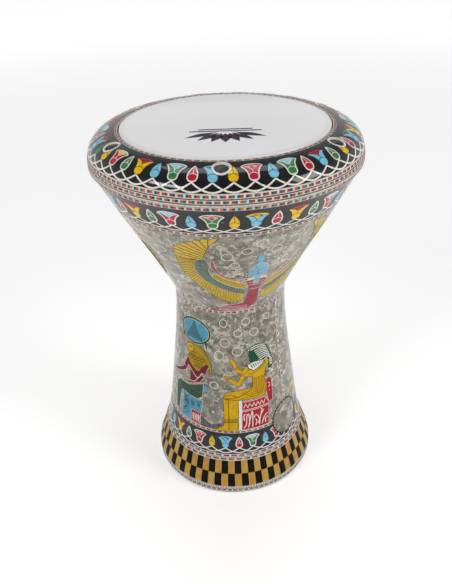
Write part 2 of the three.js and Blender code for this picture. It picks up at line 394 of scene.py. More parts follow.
@dataclass
class Outline:
    """The drum's decorated outline, as a smooth path from the foot up to the edge of the head.

    Attributes:
        radii: Radius at each station of the path.
        heights: Height at each station.
        lengths: Distance along the path at each station.
        spans: For each skin node, the lengths at which it starts and ends.
    """

    radii: np.ndarray
    heights: np.ndarray
    lengths: np.ndarray
    spans: dict[str, tuple[float, float]]

    @classmethod
    def from_frame(cls, nodes: Sequence[str], merge: float = 0.6 * MM, step: float = 0.5 * MM) -> "Outline":
        """Reads the outline from the outer corners of the skin.

        Args:
            nodes: The skin nodes, from the foot up.
            merge: Corners nearer than this are one.
            step: Distance between the path's stations.

        Returns:
            The outline.
        """
        ends: dict[str, tuple[Flat, Flat]] = {}
        knots: list[np.ndarray] = []
        for node in nodes:
            face = cls._face(node)
            ends[node] = (face[0], face[-1])
            for spot in map(np.array, face):
                if knots and np.linalg.norm(spot - knots[-1]) < merge:
                    knots[-1] = (knots[-1] + spot) / 2
                else:
                    knots.append(spot)
        table = np.array(knots)
        chord = np.concatenate([[0], np.cumsum(np.linalg.norm(np.diff(table, axis=0), axis=1))])
        at = np.linspace(0, chord[-1], int(chord[-1] / step))
        radii, heights = (cls._monotone(chord, table[:, k], at) for k in (0, 1))
        lengths = np.concatenate([[0], np.cumsum(np.hypot(np.diff(radii), np.diff(heights)))])
        spans = {}
        for node, spots in ends.items():
            near = [int(np.argmin(np.hypot(radii - r, heights - z))) for r, z in spots]
            spans[node] = (float(lengths[near[0]]), float(lengths[near[1]]))
        return cls(radii, heights, lengths, spans)

    @staticmethod
    def _face(node: str) -> list[Flat]:
        """The outer corners of a skin node's section, in the order of the path.

        Args:
            node: The node's name. Its section is two chains of corners with a short edge at either end.

        Returns:
            The corners of the outer chain.
        """
        loop = cross_section(node)
        short = [i for i in range(len(loop)) if math.dist(loop[i - 1], loop[i]) < 1.9 * MM]
        first, second = short[0], short[1]
        chains = (loop[first:second], loop[second:] + loop[:first])
        face = max(chains, key=lambda chain: sum(r + z for r, z in chain) / len(chain))
        return sorted(face, key=lambda p: p[1] - p[0])

    @staticmethod
    def _monotone(knots: np.ndarray, values: np.ndarray, at: np.ndarray) -> np.ndarray:
        """A smooth curve through values that never overshoots them."""
        gap = np.diff(knots)
        slope = np.diff(values) / gap
        lean = np.zeros(len(knots))
        same = slope[:-1] * slope[1:] > 0
        near, far = 2 * gap[1:] + gap[:-1], gap[1:] + 2 * gap[:-1]
        with np.errstate(divide="ignore", invalid="ignore"):
            inner = (near + far) / (near / slope[:-1] + far / slope[1:])
        lean[1:-1] = np.where(same, inner, 0.0)
        lean[0], lean[-1] = slope[0], slope[-1]
        i = np.clip(np.searchsorted(knots, at) - 1, 0, len(gap) - 1)
        t = (at - knots[i]) / gap[i]
        return (
            (1 + 2 * t) * (1 - t) ** 2 * values[i] + t * (1 - t) ** 2 * gap[i] * lean[i]
            + t**2 * (3 - 2 * t) * values[i + 1] + t**2 * (t - 1) * gap[i] * lean[i + 1]
        )

    def length_at(self, height: float | np.ndarray) -> float | np.ndarray:
        """Distance along the path at a height."""
        return np.interp(height, self.heights, self.lengths)

    def length_in(self, radius: float) -> float:
        """Distance along the path at a radius of the crown, above the widest circle."""
        crown = slice(int(np.argmax(self.radii)), None)
        return float(np.interp(-radius, -self.radii[crown], self.lengths[crown]))

    def radius_at(self, length: float | np.ndarray) -> float | np.ndarray:
        """Radius at a distance along the path."""
        return np.interp(length, self.lengths, self.radii)

    def section(self, length: np.ndarray, lift: np.ndarray | float) -> tuple[np.ndarray, np.ndarray]:
        """Radius and height at distances along the path, lifted off the surface.

        Args:
            length: Distances along the path.
            lift: Distance out of the surface.

        Returns:
            The radii and the heights.
        """
        d_r = np.interp(length, self.lengths, np.gradient(self.radii, self.lengths))
        d_z = np.interp(length, self.lengths, np.gradient(self.heights, self.lengths))
        r = np.interp(length, self.lengths, self.radii) + lift * d_z
        z = np.interp(length, self.lengths, self.heights) - lift * d_r
        return r, z

    def band(self, start: float, end: float, top: float = 0.0, bottom: float = -SKIN_DEPTH) -> list[Flat]:
        """The closed profile of a layer that follows the outline.

        Args:
            start: Length at which it starts.
            end: Length at which it ends.
            top: How far its face stands out of the surface.
            bottom: How far its back stands out of the surface.

        Returns:
            Its corners as (radius, height).
        """
        stations = np.linspace(start, end, max(2, int(abs(end - start) / BAND_STEP) + 1))
        face = np.column_stack(self.section(stations, top))
        back = np.column_stack(self.section(stations[::-1], bottom))
        return [tuple(p) for p in np.vstack([face, back])]

    def wrap(self, sheet: Piece, reference: float, lift: float, depth: float = INLAY_DEPTH) -> Piece:
        """Lays a flat sheet on the drum and gives it its thickness.

        Args:
            sheet: The sheet. Its x runs round the drum and its y along the outline.
            reference: The radius at which a length in x is true.
            lift: How proud its face stands.
            depth: Its thickness, into the drum.

        Returns:
            The same object, now a solid.
        """
        flat = corners(sheet)
        r, z = self.section(flat[:, 1], lift + flat[:, 2])
        azimuth = flat[:, 0] / reference
        set_corners(sheet, np.column_stack([r * np.sin(azimuth), -r * np.cos(azimuth), z]))
        apply(sheet, "SOLIDIFY", thickness=depth, offset=-1.0)
        return sheet


# ---------------------------------------------------------------- finishes


class Graph:
    """The node tree of one material, or of the room."""

    def __init__(self, name: str, room: bool = False) -> None:
        """Starts a tree with one shader and its coordinates.

        Args:
            name: The material's or the room's name.
            room: Whether it is the room.
        """
        self.owner = (bpy.data.worlds if room else bpy.data.materials).new(name)
        self.owner.use_nodes = True
        self.tree = self.owner.node_tree
        self.shader = self.tree.nodes["Background" if room else "Principled BSDF"]
        self.place = self.node("ShaderNodeTexCoord").outputs["Generated" if room else "Object"]

    def _plug(self, socket: Socket, value: object) -> None:
        """Links a socket to another, or sets it.

        Args:
            socket: The input.
            value: A socket, a number or a colour.
        """
        if isinstance(value, Socket):
            self.tree.links.new(value, socket)
        elif isinstance(value, tuple) and len(value) < len(socket.default_value):
            socket.default_value = (*value, 1.0)
        else:
            socket.default_value = value

    def node(self, kind: str, **settings: object) -> bpy.types.Node:
        """Adds a node.

        Args:
            kind: Its type.
            settings: Its own values.

        Returns:
            The node.
        """
        made = self.tree.nodes.new(kind)
        for key, value in settings.items():
            setattr(made, key, value)
        return made

    def feed(self, made: bpy.types.Node, **inputs: object) -> bpy.types.Node:
        """Links or sets a node's inputs."""
        for key, value in inputs.items():
            self._plug(made.inputs[key.replace("_", " ")], value)
        return made

    def set(self, **values: object) -> None:
        """Links or sets the shader's own inputs, by name, with _ for a space."""
        self.feed(self.shader, **values)

    def noise(self, scale: float, detail: float = 3.0, vector: Socket | None = None) -> Socket:
        """A cloudy pattern."""
        made = self.node("ShaderNodeTexNoise")
        return self.feed(made, Vector=vector or self.place, Scale=scale, Detail=detail).outputs["Fac"]

    def cells(self, scale: float, feature: str = "F1", vector: Socket | None = None) -> bpy.types.Node:
        """A pattern of cells."""
        made = self.node("ShaderNodeTexVoronoi", feature=feature)
        return self.feed(made, Vector=vector or self.place, Scale=scale)

    def ramp(self, value: Socket, *stops: tuple[float, Colour | float]) -> Socket:
        """Turns a value into a colour.

        Args:
            value: The value.
            stops: A place and a colour or grey for each stop.

        Returns:
            The colour.
        """
        made = self.feed(self.node("ShaderNodeValToRGB"), Fac=value)
        ramp = made.color_ramp
        while len(ramp.elements) < len(stops):
            ramp.elements.new(1.0)
        for element, (at, shade) in zip(ramp.elements, stops):
            element.position = at
            element.color = (*((shade,) * 3 if isinstance(shade, float) else shade), 1.0)
        return made.outputs["Color"]

    def mix(self, share: object, low: object, high: object, mode: str = "MIX") -> Socket:
        """Mixes two colours.

        Args:
            share: How much of the second.
            low: The first colour or socket.
            high: The second.
            mode: How they mix.

        Returns:
            The mixed colour.
        """
        made = self.node("ShaderNodeMix", data_type="RGBA", blend_type=mode)
        for number, value in ((0, share), (6, low), (7, high)):  # its inputs for colours
            self._plug(made.inputs[number], value)
        return made.outputs[2]

    def maths(self, how: str, *values: object) -> Socket:
        """Works out a number.

        Args:
            how: The operation.
            values: Its numbers or sockets.

        Returns:
            The result.
        """
        made = self.node("ShaderNodeMath", operation=how)
        for socket, value in zip(made.inputs, values):
            self._plug(socket, value)
        return made.outputs[0]

    def azimuth(self) -> Socket:
        """The angle round the drum, in radians."""
        parts = self.feed(self.node("ShaderNodeSeparateXYZ"), Vector=self.place)
        return self.maths("ARCTAN2", parts.outputs["X"], parts.outputs["Y"])

    def height(self) -> Socket:
        """The height above the floor, in metres."""
        return self.feed(self.node("ShaderNodeSeparateXYZ"), Vector=self.place).outputs["Z"]

    def bump(self, height: Socket, distance: float, strength: float = 1.0) -> None:
        """Raises the surface by a pattern."""
        made = self.feed(self.node("ShaderNodeBump"), Height=height, Distance=distance, Strength=strength)
        self.set(Normal=made.outputs["Normal"])


@dataclass(frozen=True)
class Lacquered:
    """A coloured inlay under clear lacquer.

    Attributes:
        name: The finish's name.
        colour: Its usual colour.
        deep: Its colour where the pigment lies thick.
        grain: Clouds of colour in a metre.
        roughness: How dull the inlay is under its lacquer.
        coat: How much lacquer shows.
    """

    name: str
    colour: Colour
    deep: Colour
    grain: float = 260.0
    roughness: float = 0.45
    coat: float = 0.6

    def make(self) -> bpy.types.Material:
        """Makes the material."""
        g = Graph(self.name)
        clouds = g.ramp(g.noise(self.grain, 4.0), (0.34, self.deep), (0.62, self.colour))
        fine = g.ramp(g.noise(self.grain * 9, 2.0), (0.3, 0.86), (0.7, 1.0))
        g.set(Base_Color=g.mix(1.0, clouds, fine, "MULTIPLY"), Coat_Weight=self.coat, Coat_Roughness=0.06)
        g.set(Specular_IOR_Level=0.04)
        g.set(Roughness=g.ramp(g.noise(self.grain / 4), (0.3, self.roughness), (0.7, self.roughness * 0.75)))
        g.bump(g.noise(90.0, 2.0), 0.12 * MM, 0.5)
        return g.owner


@dataclass(frozen=True)
class PearlShell:
    """Chips of pearl shell set in clear resin.

    Attributes:
        name: The finish's name.
        chips: Chips in a metre.
        shades: The colours that the chips take, from dark to light.
        specks: The colour of the filler that shows between them.
        coat: How much lacquer shows.
        painted_glint: A painted highlight, the bright colour given to a few small chips as if they caught the
            light.
    """

    name: str = "pearl_shell"
    chips: float = 190.0
    shades: tuple[Colour, ...] = (
        (0.044, 0.033, 0.019), (0.105, 0.092, 0.063), (0.145, 0.132, 0.097), (0.18, 0.164, 0.123),
        (0.228, 0.21, 0.16), (0.37, 0.345, 0.28),
    )
    specks: Colour = (0.05, 0.036, 0.02)
    coat: float = 0.55
    painted_glint: Colour = (0.72, 0.72, 0.66)

    def make(self) -> bpy.types.Material:
        """Makes the material."""
        g = Graph(self.name)
        warp = g.feed(g.node("ShaderNodeTexNoise"), Vector=g.place, Scale=150.0, Detail=2.0)
        bent = g.mix(0.007, g.place, warp.outputs["Color"], "LINEAR_LIGHT")
        chips = g.cells(self.chips, vector=bent)
        shade = g.feed(g.node("ShaderNodeSeparateColor"), Color=chips.outputs["Color"])
        stops = [(i / (len(self.shades) - 1) * 0.9, c) for i, c in enumerate(self.shades)]
        colour = g.ramp(shade.outputs["Red"], *stops)
        streaks = g.ramp(g.noise(900.0, 4.0, bent), (0.3, 0.72), (0.7, 1.12))
        colour = g.mix(0.75, colour, streaks, "MULTIPLY")
        hue = g.ramp(shade.outputs["Green"], (0.0, (0.5, 0.6, 0.5)), (0.35, (0.56, 0.54, 0.48)),
                     (0.7, (0.55, 0.5, 0.42)), (1.0, (0.52, 0.42, 0.4)))
        colour = g.mix(0.1, colour, hue)
        edge = g.cells(self.chips, "DISTANCE_TO_EDGE", bent)
        filler = g.maths("MULTIPLY", g.maths("LESS_THAN", edge.outputs["Distance"], 0.05),
                         g.ramp(g.noise(60.0, 3.0), (0.46, 0.0), (0.62, 0.75)))
        colour = g.mix(filler, colour, self.specks)
        # Painted highlight: a few small chips take a bright colour in place of glints of light.
        spark = g.feed(g.node("ShaderNodeSeparateColor"), Color=g.cells(620.0).outputs["Color"])
        glint_mask = g.maths("MULTIPLY", g.maths("LESS_THAN", spark.outputs["Red"], 0.06),
                      g.ramp(g.noise(34.0, 2.0), (0.5, 0.0), (0.6, 0.8)))
        colour = g.mix(glint_mask, colour, self.painted_glint)
        dark = g.ramp(g.noise(260.0, 6.0), (0.6, 0.0), (0.68, 0.75))
        colour = g.mix(dark, colour, self.specks)
        g.set(Base_Color=colour, Coat_Weight=self.coat, Coat_Roughness=0.05, Specular_IOR_Level=0.25)
        g.set(Roughness=g.ramp(shade.outputs["Blue"], (0.0, 0.22), (1.0, 0.5)))
        g.set(Metallic=g.ramp(shade.outputs["Blue"], (0.72, 0.0), (0.9, 0.35)))
        g.bump(shade.outputs["Blue"], 0.1 * MM, 0.6)
        return g.owner


@dataclass(frozen=True)
class GoldTile:
    """Ribbed gold laminate, each tile in a tone of its own, with painted shade in the grooves of its ribs.

    Attributes:
        name: The finish's name.
        tiles: Tiles in a full turn.
        ribs: Ribs in a full turn.
        split: Height of the joint between the two rows.
    """

    name: str
    tiles: int
    ribs: int
    split: float

    def make(self) -> bpy.types.Material:
        """Makes the material."""
        g = Graph(self.name)
        turns = g.maths("DIVIDE", g.azimuth(), math.tau)
        tile = g.maths("FLOOR", g.maths("MULTIPLY", g.maths("ADD", turns, 0.5), float(self.tiles)))
        row = g.maths("MULTIPLY", g.maths("GREATER_THAN", g.height(), self.split), 97.0)
        tone = g.feed(g.node("ShaderNodeTexWhiteNoise", noise_dimensions="1D"), W=g.maths("ADD", tile, row))
        stops = ((0.0, (0.5, 0.25, 0.035)), (0.5, (0.55, 0.31, 0.045)), (1.0, (0.48, 0.32, 0.085)))
        gold = g.ramp(tone.outputs["Value"], *stops)
        rib = g.maths("SINE", g.maths("MULTIPLY", turns, math.tau * self.ribs))
        # Painted shade: the colour darkens in each rib's groove.
        fine = g.ramp(g.maths("MULTIPLY_ADD", rib, 0.5, 0.5), (0.0, 0.74), (0.7, 1.0))
        cloud = g.ramp(g.noise(140.0, 4.0), (0.3, 0.8), (0.7, 1.08))
        colour = g.mix(1.0, g.mix(1.0, gold, fine, "MULTIPLY"), cloud, "MULTIPLY")
        g.set(Base_Color=colour, Metallic=0.15, Coat_Weight=0.2, Coat_Roughness=0.06, Specular_IOR_Level=0.15)
        g.set(Roughness=g.ramp(g.noise(300.0), (0.3, 0.3), (0.7, 0.42)))
        g.bump(rib, 0.03 * MM, 0.5)
        return g.owner


@dataclass(frozen=True)
class Metal:
    """Bare metal.

    Attributes:
        name: The finish's name.
        colour: Its colour.
        roughness: How dull it is.
        grain: Grains of its surface in a metre.
        relief: How high the grains stand.
        turned: Whether tool marks run round the drum's axis.
    """

    name: str
    colour: Colour
    roughness: float
    grain: float
    relief: float
    turned: bool = False

    def make(self) -> bpy.types.Material:
        """Makes the material."""
        g = Graph(self.name)
        cloud = g.noise(self.grain / 8, 4.0)
        deep = tuple(c * 0.78 for c in self.colour)
        g.set(Base_Color=g.ramp(cloud, (0.3, deep), (0.7, self.colour)), Metallic=1.0)
        worn = ((0.3, self.roughness * 0.8), (0.7, self.roughness * 1.25))
        g.set(Roughness=g.ramp(g.noise(self.grain / 3), *worn))
        height = g.noise(self.grain, 3.0)
        if self.turned:
            marks = g.maths("SINE", g.maths("MULTIPLY", g.height(), math.tau * 1500.0))
            height = g.maths("MULTIPLY_ADD", marks, 0.25, height)
        g.bump(height, self.relief, 0.6)
        return g.owner


@dataclass(frozen=True)
class DrumFilm:
    """Smooth coated film, slightly greyer in the middle, with painted shade at its rim where it turns down
    over the edge.

    Attributes:
        name: The finish's name.
        radius: The playing surface's radius.
    """

    name: str
    radius: float

    def make(self) -> bpy.types.Material:
        """Makes the material."""
        g = Graph(self.name)
        level = g.feed(g.node("ShaderNodeVectorMath", operation="MULTIPLY"), Vector=g.place)
        level.inputs[1].default_value = (1.0, 1.0, 0.0)
        away = g.feed(g.node("ShaderNodeVectorMath", operation="LENGTH"), Vector=level.outputs[0])
        reach = g.maths("DIVIDE", away.outputs["Value"], self.radius)
        # Painted shade: the film darkens past 0.95 of its radius, where it turns down over the edge.
        stops = ((0.0, (0.75, 0.75, 0.765)), (0.95, (0.77, 0.77, 0.78)), (0.99, (0.68, 0.68, 0.68)))
        rim_shaded_tone = g.ramp(reach, *stops)
        smudge = g.ramp(g.noise(11.0, 1.0), (0.25, 0.98), (0.75, 1.0))
        g.set(Base_Color=g.mix(1.0, rim_shaded_tone, smudge, "MULTIPLY"), Coat_Weight=0.35, Coat_Roughness=0.12)
        g.set(Roughness=g.ramp(g.noise(16.0, 1.0), (0.25, 0.3), (0.75, 0.34)))
        return g.owner


@dataclass(frozen=True)
class Resin:
    """Cured amber resin.

    Attributes:
        name: The finish's name.
        colour: Its colour.
    """

    name: str = "amber_resin"
    colour: Colour = (0.42, 0.24, 0.07)

    def make(self) -> bpy.types.Material:
        """Makes the material."""
        g = Graph(self.name)
        deep = tuple(c * 0.6 for c in self.colour)
        g.set(Base_Color=g.ramp(g.noise(180.0, 4.0), (0.3, deep), (0.7, self.colour)), Roughness=0.25)
        g.bump(g.noise(240.0), 0.2 * MM, 0.4)
        return g.owner


class Tint(Enum):
    """The lacquer colours of the inlays."""

    BLACK = Lacquered("black_ground", (0.011, 0.011, 0.013), (0.006, 0.006, 0.008), 120.0, 0.32, 0.62)
    WHITE = Lacquered("white_line", (0.72, 0.7, 0.64), (0.6, 0.58, 0.52), 500.0)
    CREAM = Lacquered("cream_strip", (0.62, 0.59, 0.515), (0.47, 0.44, 0.375), 420.0, coat=0.25)
    SEAT_RED = Lacquered("seat_red_inlay", (0.4, 0.008, 0.022), (0.3, 0.006, 0.016), coat=0.2)
    RED = Lacquered("red_inlay", (0.46, 0.014, 0.035), (0.34, 0.01, 0.026))
    DARK_RED = Lacquered("dark_red_inlay", (0.165, 0.009, 0.018), (0.12, 0.007, 0.013), coat=0.2)
    YELLOW = Lacquered("yellow_inlay", (0.74, 0.46, 0.004), (0.62, 0.37, 0.003))
    OCHRE = Lacquered("ochre_inlay", (0.55, 0.37, 0.02), (0.42, 0.27, 0.012))
    AMBER = Lacquered("amber_inlay", (0.6, 0.345, 0.001), (0.48, 0.27, 0.001), coat=0.2)
    BRONZE = Lacquered("bronze_inlay", (0.4, 0.245, 0.004), (0.27, 0.155, 0.003), 90.0, coat=0.2)
    BLUE = Lacquered("blue_inlay", (0.19, 0.5, 0.66), (0.14, 0.41, 0.56))
    SKY = Lacquered("sky_inlay", (0.085, 0.285, 0.4), (0.06, 0.22, 0.32), coat=0.25)
    GREEN = Lacquered("green_inlay", (0.035, 0.2, 0.055), (0.025, 0.145, 0.04))
    DARK_GREEN = Lacquered("dark_green_inlay", (0.016, 0.075, 0.03), (0.012, 0.055, 0.022), coat=0.2)
    GREY_GREEN = Lacquered("grey_green_inlay", (0.15, 0.2, 0.155), (0.1, 0.145, 0.11))
    CELL_RED = Lacquered("cell_red", (0.52, 0.075, 0.018), (0.34, 0.02, 0.012), 110.0, coat=0.2)
    CELL_BLUE = Lacquered("cell_blue", (0.015, 0.12, 0.23), (0.007, 0.035, 0.09), 110.0, coat=0.2)
    CELL_ORANGE = Lacquered("cell_orange", (0.56, 0.2, 0.045), (0.4, 0.1, 0.03), 110.0, coat=0.2)
    CELL_TEAL = Lacquered("cell_teal", (0.03, 0.22, 0.29), (0.015, 0.12, 0.18), 110.0, coat=0.2)
    FAINT_WHITE = Lacquered("faint_white", (0.62, 0.6, 0.54), (0.5, 0.48, 0.43), 300.0, coat=0.3)
    NET_GREY = Lacquered("net_grey", (0.25, 0.24, 0.2), (0.15, 0.14, 0.12), 300.0)
    DARK_LINE = Lacquered("dark_line", (0.03, 0.022, 0.012), (0.018, 0.014, 0.008), 300.0, coat=0.1)
    BLACK_TILE = Lacquered("black_tile", (0.006, 0.006, 0.006), (0.003, 0.003, 0.003), 200.0, coat=0.06)
    ROSE = Lacquered("rose_inlay", (0.34, 0.035, 0.07), (0.25, 0.022, 0.05))
    SKY_PALE = Lacquered("sky_pale_inlay", (0.17, 0.38, 0.5), (0.12, 0.3, 0.42))
    DULL_GREEN = Lacquered("dull_green_inlay", (0.035, 0.078, 0.053), (0.024, 0.055, 0.038), coat=0.25)
    GREEN_DEEP = Lacquered("deep_green_inlay", (0.01, 0.07, 0.028), (0.007, 0.05, 0.02), coat=0.2)
    PLUM = Lacquered("plum_print", (0.035, 0.018, 0.035), (0.025, 0.012, 0.025), 300.0, 0.5, 0.1)


CAST = Metal("cast_aluminium", (0.62, 0.625, 0.63), 0.32, 900.0, 0.08 * MM)
STEEL = Metal("bright_steel", (0.58, 0.585, 0.59), 0.22, 1500.0, 0.02 * MM)
# Its last colour is the painted highlight on its small chips.
DARK_CHIPS = PearlShell(
    "dark_chips", 300.0, ((0.006, 0.006, 0.006), (0.01, 0.01, 0.009), (0.05, 0.048, 0.04)),
    (0.005, 0.005, 0.005), 0.2, (0.2, 0.2, 0.19),
)


@dataclass
class Shop:
    """What every sub-assembly is built with.

    Attributes:
        outline: The drum's outline.
        finishes: The materials made so far, by finish.
        pieces: How many pieces have been delivered.
    """

    outline: Outline
    finishes: dict[object, bpy.types.Material] = field(default_factory=dict)
    pieces: int = 0

    def deliver(self, piece: Piece, finish: object, body: str, slot: str, *nodes: str) -> Piece:
        """Dresses a finished piece and hands it to the frame.

        Args:
            piece: The piece.
            finish: Its finish or tint.
            body: The body that it rides on.
            slot: The record's material slot that it belongs to. Not used.
            nodes: The nodes that it stands for.

        Returns:
            The same piece.
        """
        piece.data.name = piece.name
        piece.data.materials.clear()
        if finish not in self.finishes:
            self.finishes[finish] = (finish.value if isinstance(finish, Tint) else finish).make()
        piece.data.materials.append(self.finishes[finish])
        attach(piece, body)
        if nodes:
            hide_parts(*nodes)
        self.pieces += 1
        LOG.info("%s: %d faces on %s", piece.name, len(piece.data.polygons), body)
        return piece


# ---------------------------------------------------------------- inlay work


def spaced(line: Sequence[Flat], step: float = 3 * MM) -> list[Flat]:
    """Adds points to a line, so that it can follow a curved surface.

    Args:
        line: The line's corners.
        step: The longest stretch between two points.

    Returns:
        The finer line.
    """
    fine = [line[0]]
    for (x0, y0), (x1, y1) in zip(line, line[1:]):
        count = max(1, math.ceil(math.dist((x0, y0), (x1, y1)) / step))
        fine += [(x0 + (x1 - x0) * i / count, y0 + (y1 - y0) * i / count) for i in range(1, count + 1)]
    return fine


@dataclass
class Inlay:
    """Flat inlays of several colours, cut as sheets and then laid together on one band.

    Attributes:
        shop: Where they are made.
        name: Their name, which each colour is added to.
        reference: The radius at which their widths are true.
        body: The body that they ride on.
        slot: The record's material slot.
        cutter: A tool that clears the screw wells, if any lie in the band.
        sheets: The sheets cut so far, by finish.
    """

    shop: Shop
    name: str
    reference: float
    body: str
    slot: str
    cutter: Piece | None = None
    sheets: dict[object, list[Piece]] = field(default_factory=dict)

    def at(self, degrees: float, height: float) -> Flat:
        """The place on the sheets of an azimuth in degrees and a height in millimetres."""
        return math.radians(degrees) * self.reference, float(self.shop.outline.length_at(height * MM))

    def add(self, finish: object, sheet: Piece, level: float = 0.0) -> None:
        """Adds a sheet."""
        set_corners(sheet, corners(sheet) + (0.0, 0.0, level))
        self.sheets.setdefault(finish, []).append(sheet)

    def cut(self, finish: object, points: Sequence[Flat], level: float = 0.0) -> None:
        """Cuts a sheet to an outline."""
        self.add(finish, sliced(plate(self.name, points)), level)

    def draw(
        self, finish: object, line: Sequence[Flat], width: float, level: float = 0.0, closed: bool = False
    ) -> None:
        """Draws a line."""
        points = spaced(list(line) + ([line[0]] if closed else []))
        self.add(finish, ribbon(self.name, points[:-1] if closed else points, width, closed), level)

    def lay(self) -> None:
        """Lays the sheets on the drum, colour by colour."""
        for finish, sheets in self.sheets.items():
            label = finish.name.lower()
            piece = joined(f"{self.name}_{label}", sheets)
            self.shop.outline.wrap(piece, self.reference, FILL_LIFT)
            if self.cutter:
                cut_away(piece, self.cutter)
            self.shop.deliver(smooth(piece), finish, self.body, self.slot)
        self.sheets.clear()


def ground_layer(
    shop: Shop, node: str, body: str, slot: str, finish: object, cutter: Piece | None = None
) -> Piece:
    """Turns the layer of skin that a band's inlays are let into.

    Args:
        shop: Where it is made.
        node: The frame's node that it stands for.
        body: The body that it rides on.
        slot: The record's material slot.
        finish: Its finish.
        cutter: A tool that clears the screw wells, if any lie in the band.

    Returns:
        The layer.
    """
    start, end = shop.outline.spans[node]
    layer = turn(f"{node}_ground", shop.outline.band(start - LAP, end + LAP))
    if cutter:
        smooth(cut_away(layer, cutter))
    return shop.deliver(layer, finish, body, slot, node)


@dataclass
class Flowers:
    """The patterns of a lotus bud and an open lotus, each drawn once.

    Attributes:
        size: Their size, where 1 gives a bud 16.7 mm tall.
        line: Width of the drawn lines.
        edge: Width of the white outline.
        patterns: The patterns, by kind and part.
    """

    size: float = 1.0
    line: float = 0.55 * MM
    edge: float = 1.1 * MM
    patterns: dict[tuple[str, str], Piece] = field(default_factory=dict)

    BUD = ((0, 0), (-2.6, 0.4), (-4.2, 2.6), (-4.6, 5.5), (-3.9, 9.2), (-2.2, 13.2), (0, 16.9))
    CUP = ((0, 0), (-2.8, 0.4), (-4.2, 2.6), (-4.6, 6.0), (-5.6, 9.5), (-7.6, 12.8), (-10.2, 15.2))
    ARCH = ((-10.2, 15.2), (-7.6, 17.0), (-4.0, 18.1), (0, 18.4))
    VALLEY = ((-10.2, 15.2), (-7.4, 15.3), (-4.4, 14.4), (-2.0, 12.6), (0, 10.2))
    BOWL_LINE = ((-4.6, 5.0), (-2.6, 6.8), (0, 7.5), (2.6, 6.8), (4.6, 5.0))
    PETAL = ((-2.6, 13.2), (-3.3, 15.0), (-1.9, 16.6), (0, 17.1))

    def __post_init__(self) -> None:
        """Draws the patterns."""
        self.size *= MM
        bud = both_sides(curve_through(self.BUD, 3))
        cup, arch, petal = (curve_through(line, 3) for line in (self.CUP, self.ARCH, self.PETAL))
        bowl_line, valley = (curve_through(line, 2) for line in (self.BOWL_LINE, self.VALLEY))
        self._draw("bud", bud, bud, [bowl_line, [(0, 7.5), (0.2, 10.0), (-0.3, 12.5), (0, 16.4)]])
        self._draw("open", both_sides(cup + valley[1:]), both_sides(cup + arch[1:]),
                   [bowl_line, [(0, 7.5), (0, 10.2)], both_sides(list(reversed(valley[1:]))[:-1]), petal,
                    [(-x, y) for x, y in petal]])
        self.patterns["open", "crown"] = self._sheet(list(reversed(valley)) + arch[1:])

    def _sheet(self, half: Sequence[Flat]) -> Piece:
        """A fill, from the left half of its outline."""
        return sliced(plate("pattern", scaled(both_sides(half), self.size)), *PETAL_SLICE)

    def _draw(self, kind: str, fill: list[Flat], outline: list[Flat], lines: list[list[Flat]]) -> None:
        """Draws one kind's fill, outline and lines.

        Args:
            kind: The kind's name.
            fill: The outline of its coloured body.
            outline: The outline of the whole flower.
            lines: The lines on it.
        """
        self.patterns[kind, "body"] = sliced(plate("pattern", scaled(fill, self.size)), *PETAL_SLICE)
        self.patterns[kind, "edge"] = ribbon("pattern", scaled(outline, self.size), self.edge, True)
        strokes = [ribbon("pattern", spaced(scaled(line, self.size)), self.line) for line in lines]
        self.patterns[kind, "lines"] = joined("pattern", strokes)

    def stand(self, inlay: Inlay, code: str, place: Flat) -> None:
        """Stands a copy of a flower on a band.

        Args:
            inlay: The band's inlays.
            code: A letter for the body's colour, one for the crown's or - for a bud, then o for a white edge.
            place: Where its foot stands.
        """
        tints = {"r": Tint.RED, "g": Tint.GREEN, "b": Tint.BLUE, "y": Tint.YELLOW}
        kind = "bud" if code[1] == "-" else "open"
        outlined = code.endswith("o")
        parts = [("body", tints[code[0]], 0.0), ("lines", Tint.WHITE if outlined else Tint.BLACK, 0.05 * MM)]
        if kind == "open":
            parts.append(("crown", tints[code[1]], 0.02 * MM))
        if outlined:
            parts.append(("edge", Tint.WHITE, 0.04 * MM))
        for part, tint, level in parts:
            inlay.add(tint, copied(self.patterns[kind, part], *place), level)

    def clear(self) -> None:
        """Throws the patterns away."""
        scrap(*self.patterns.values())


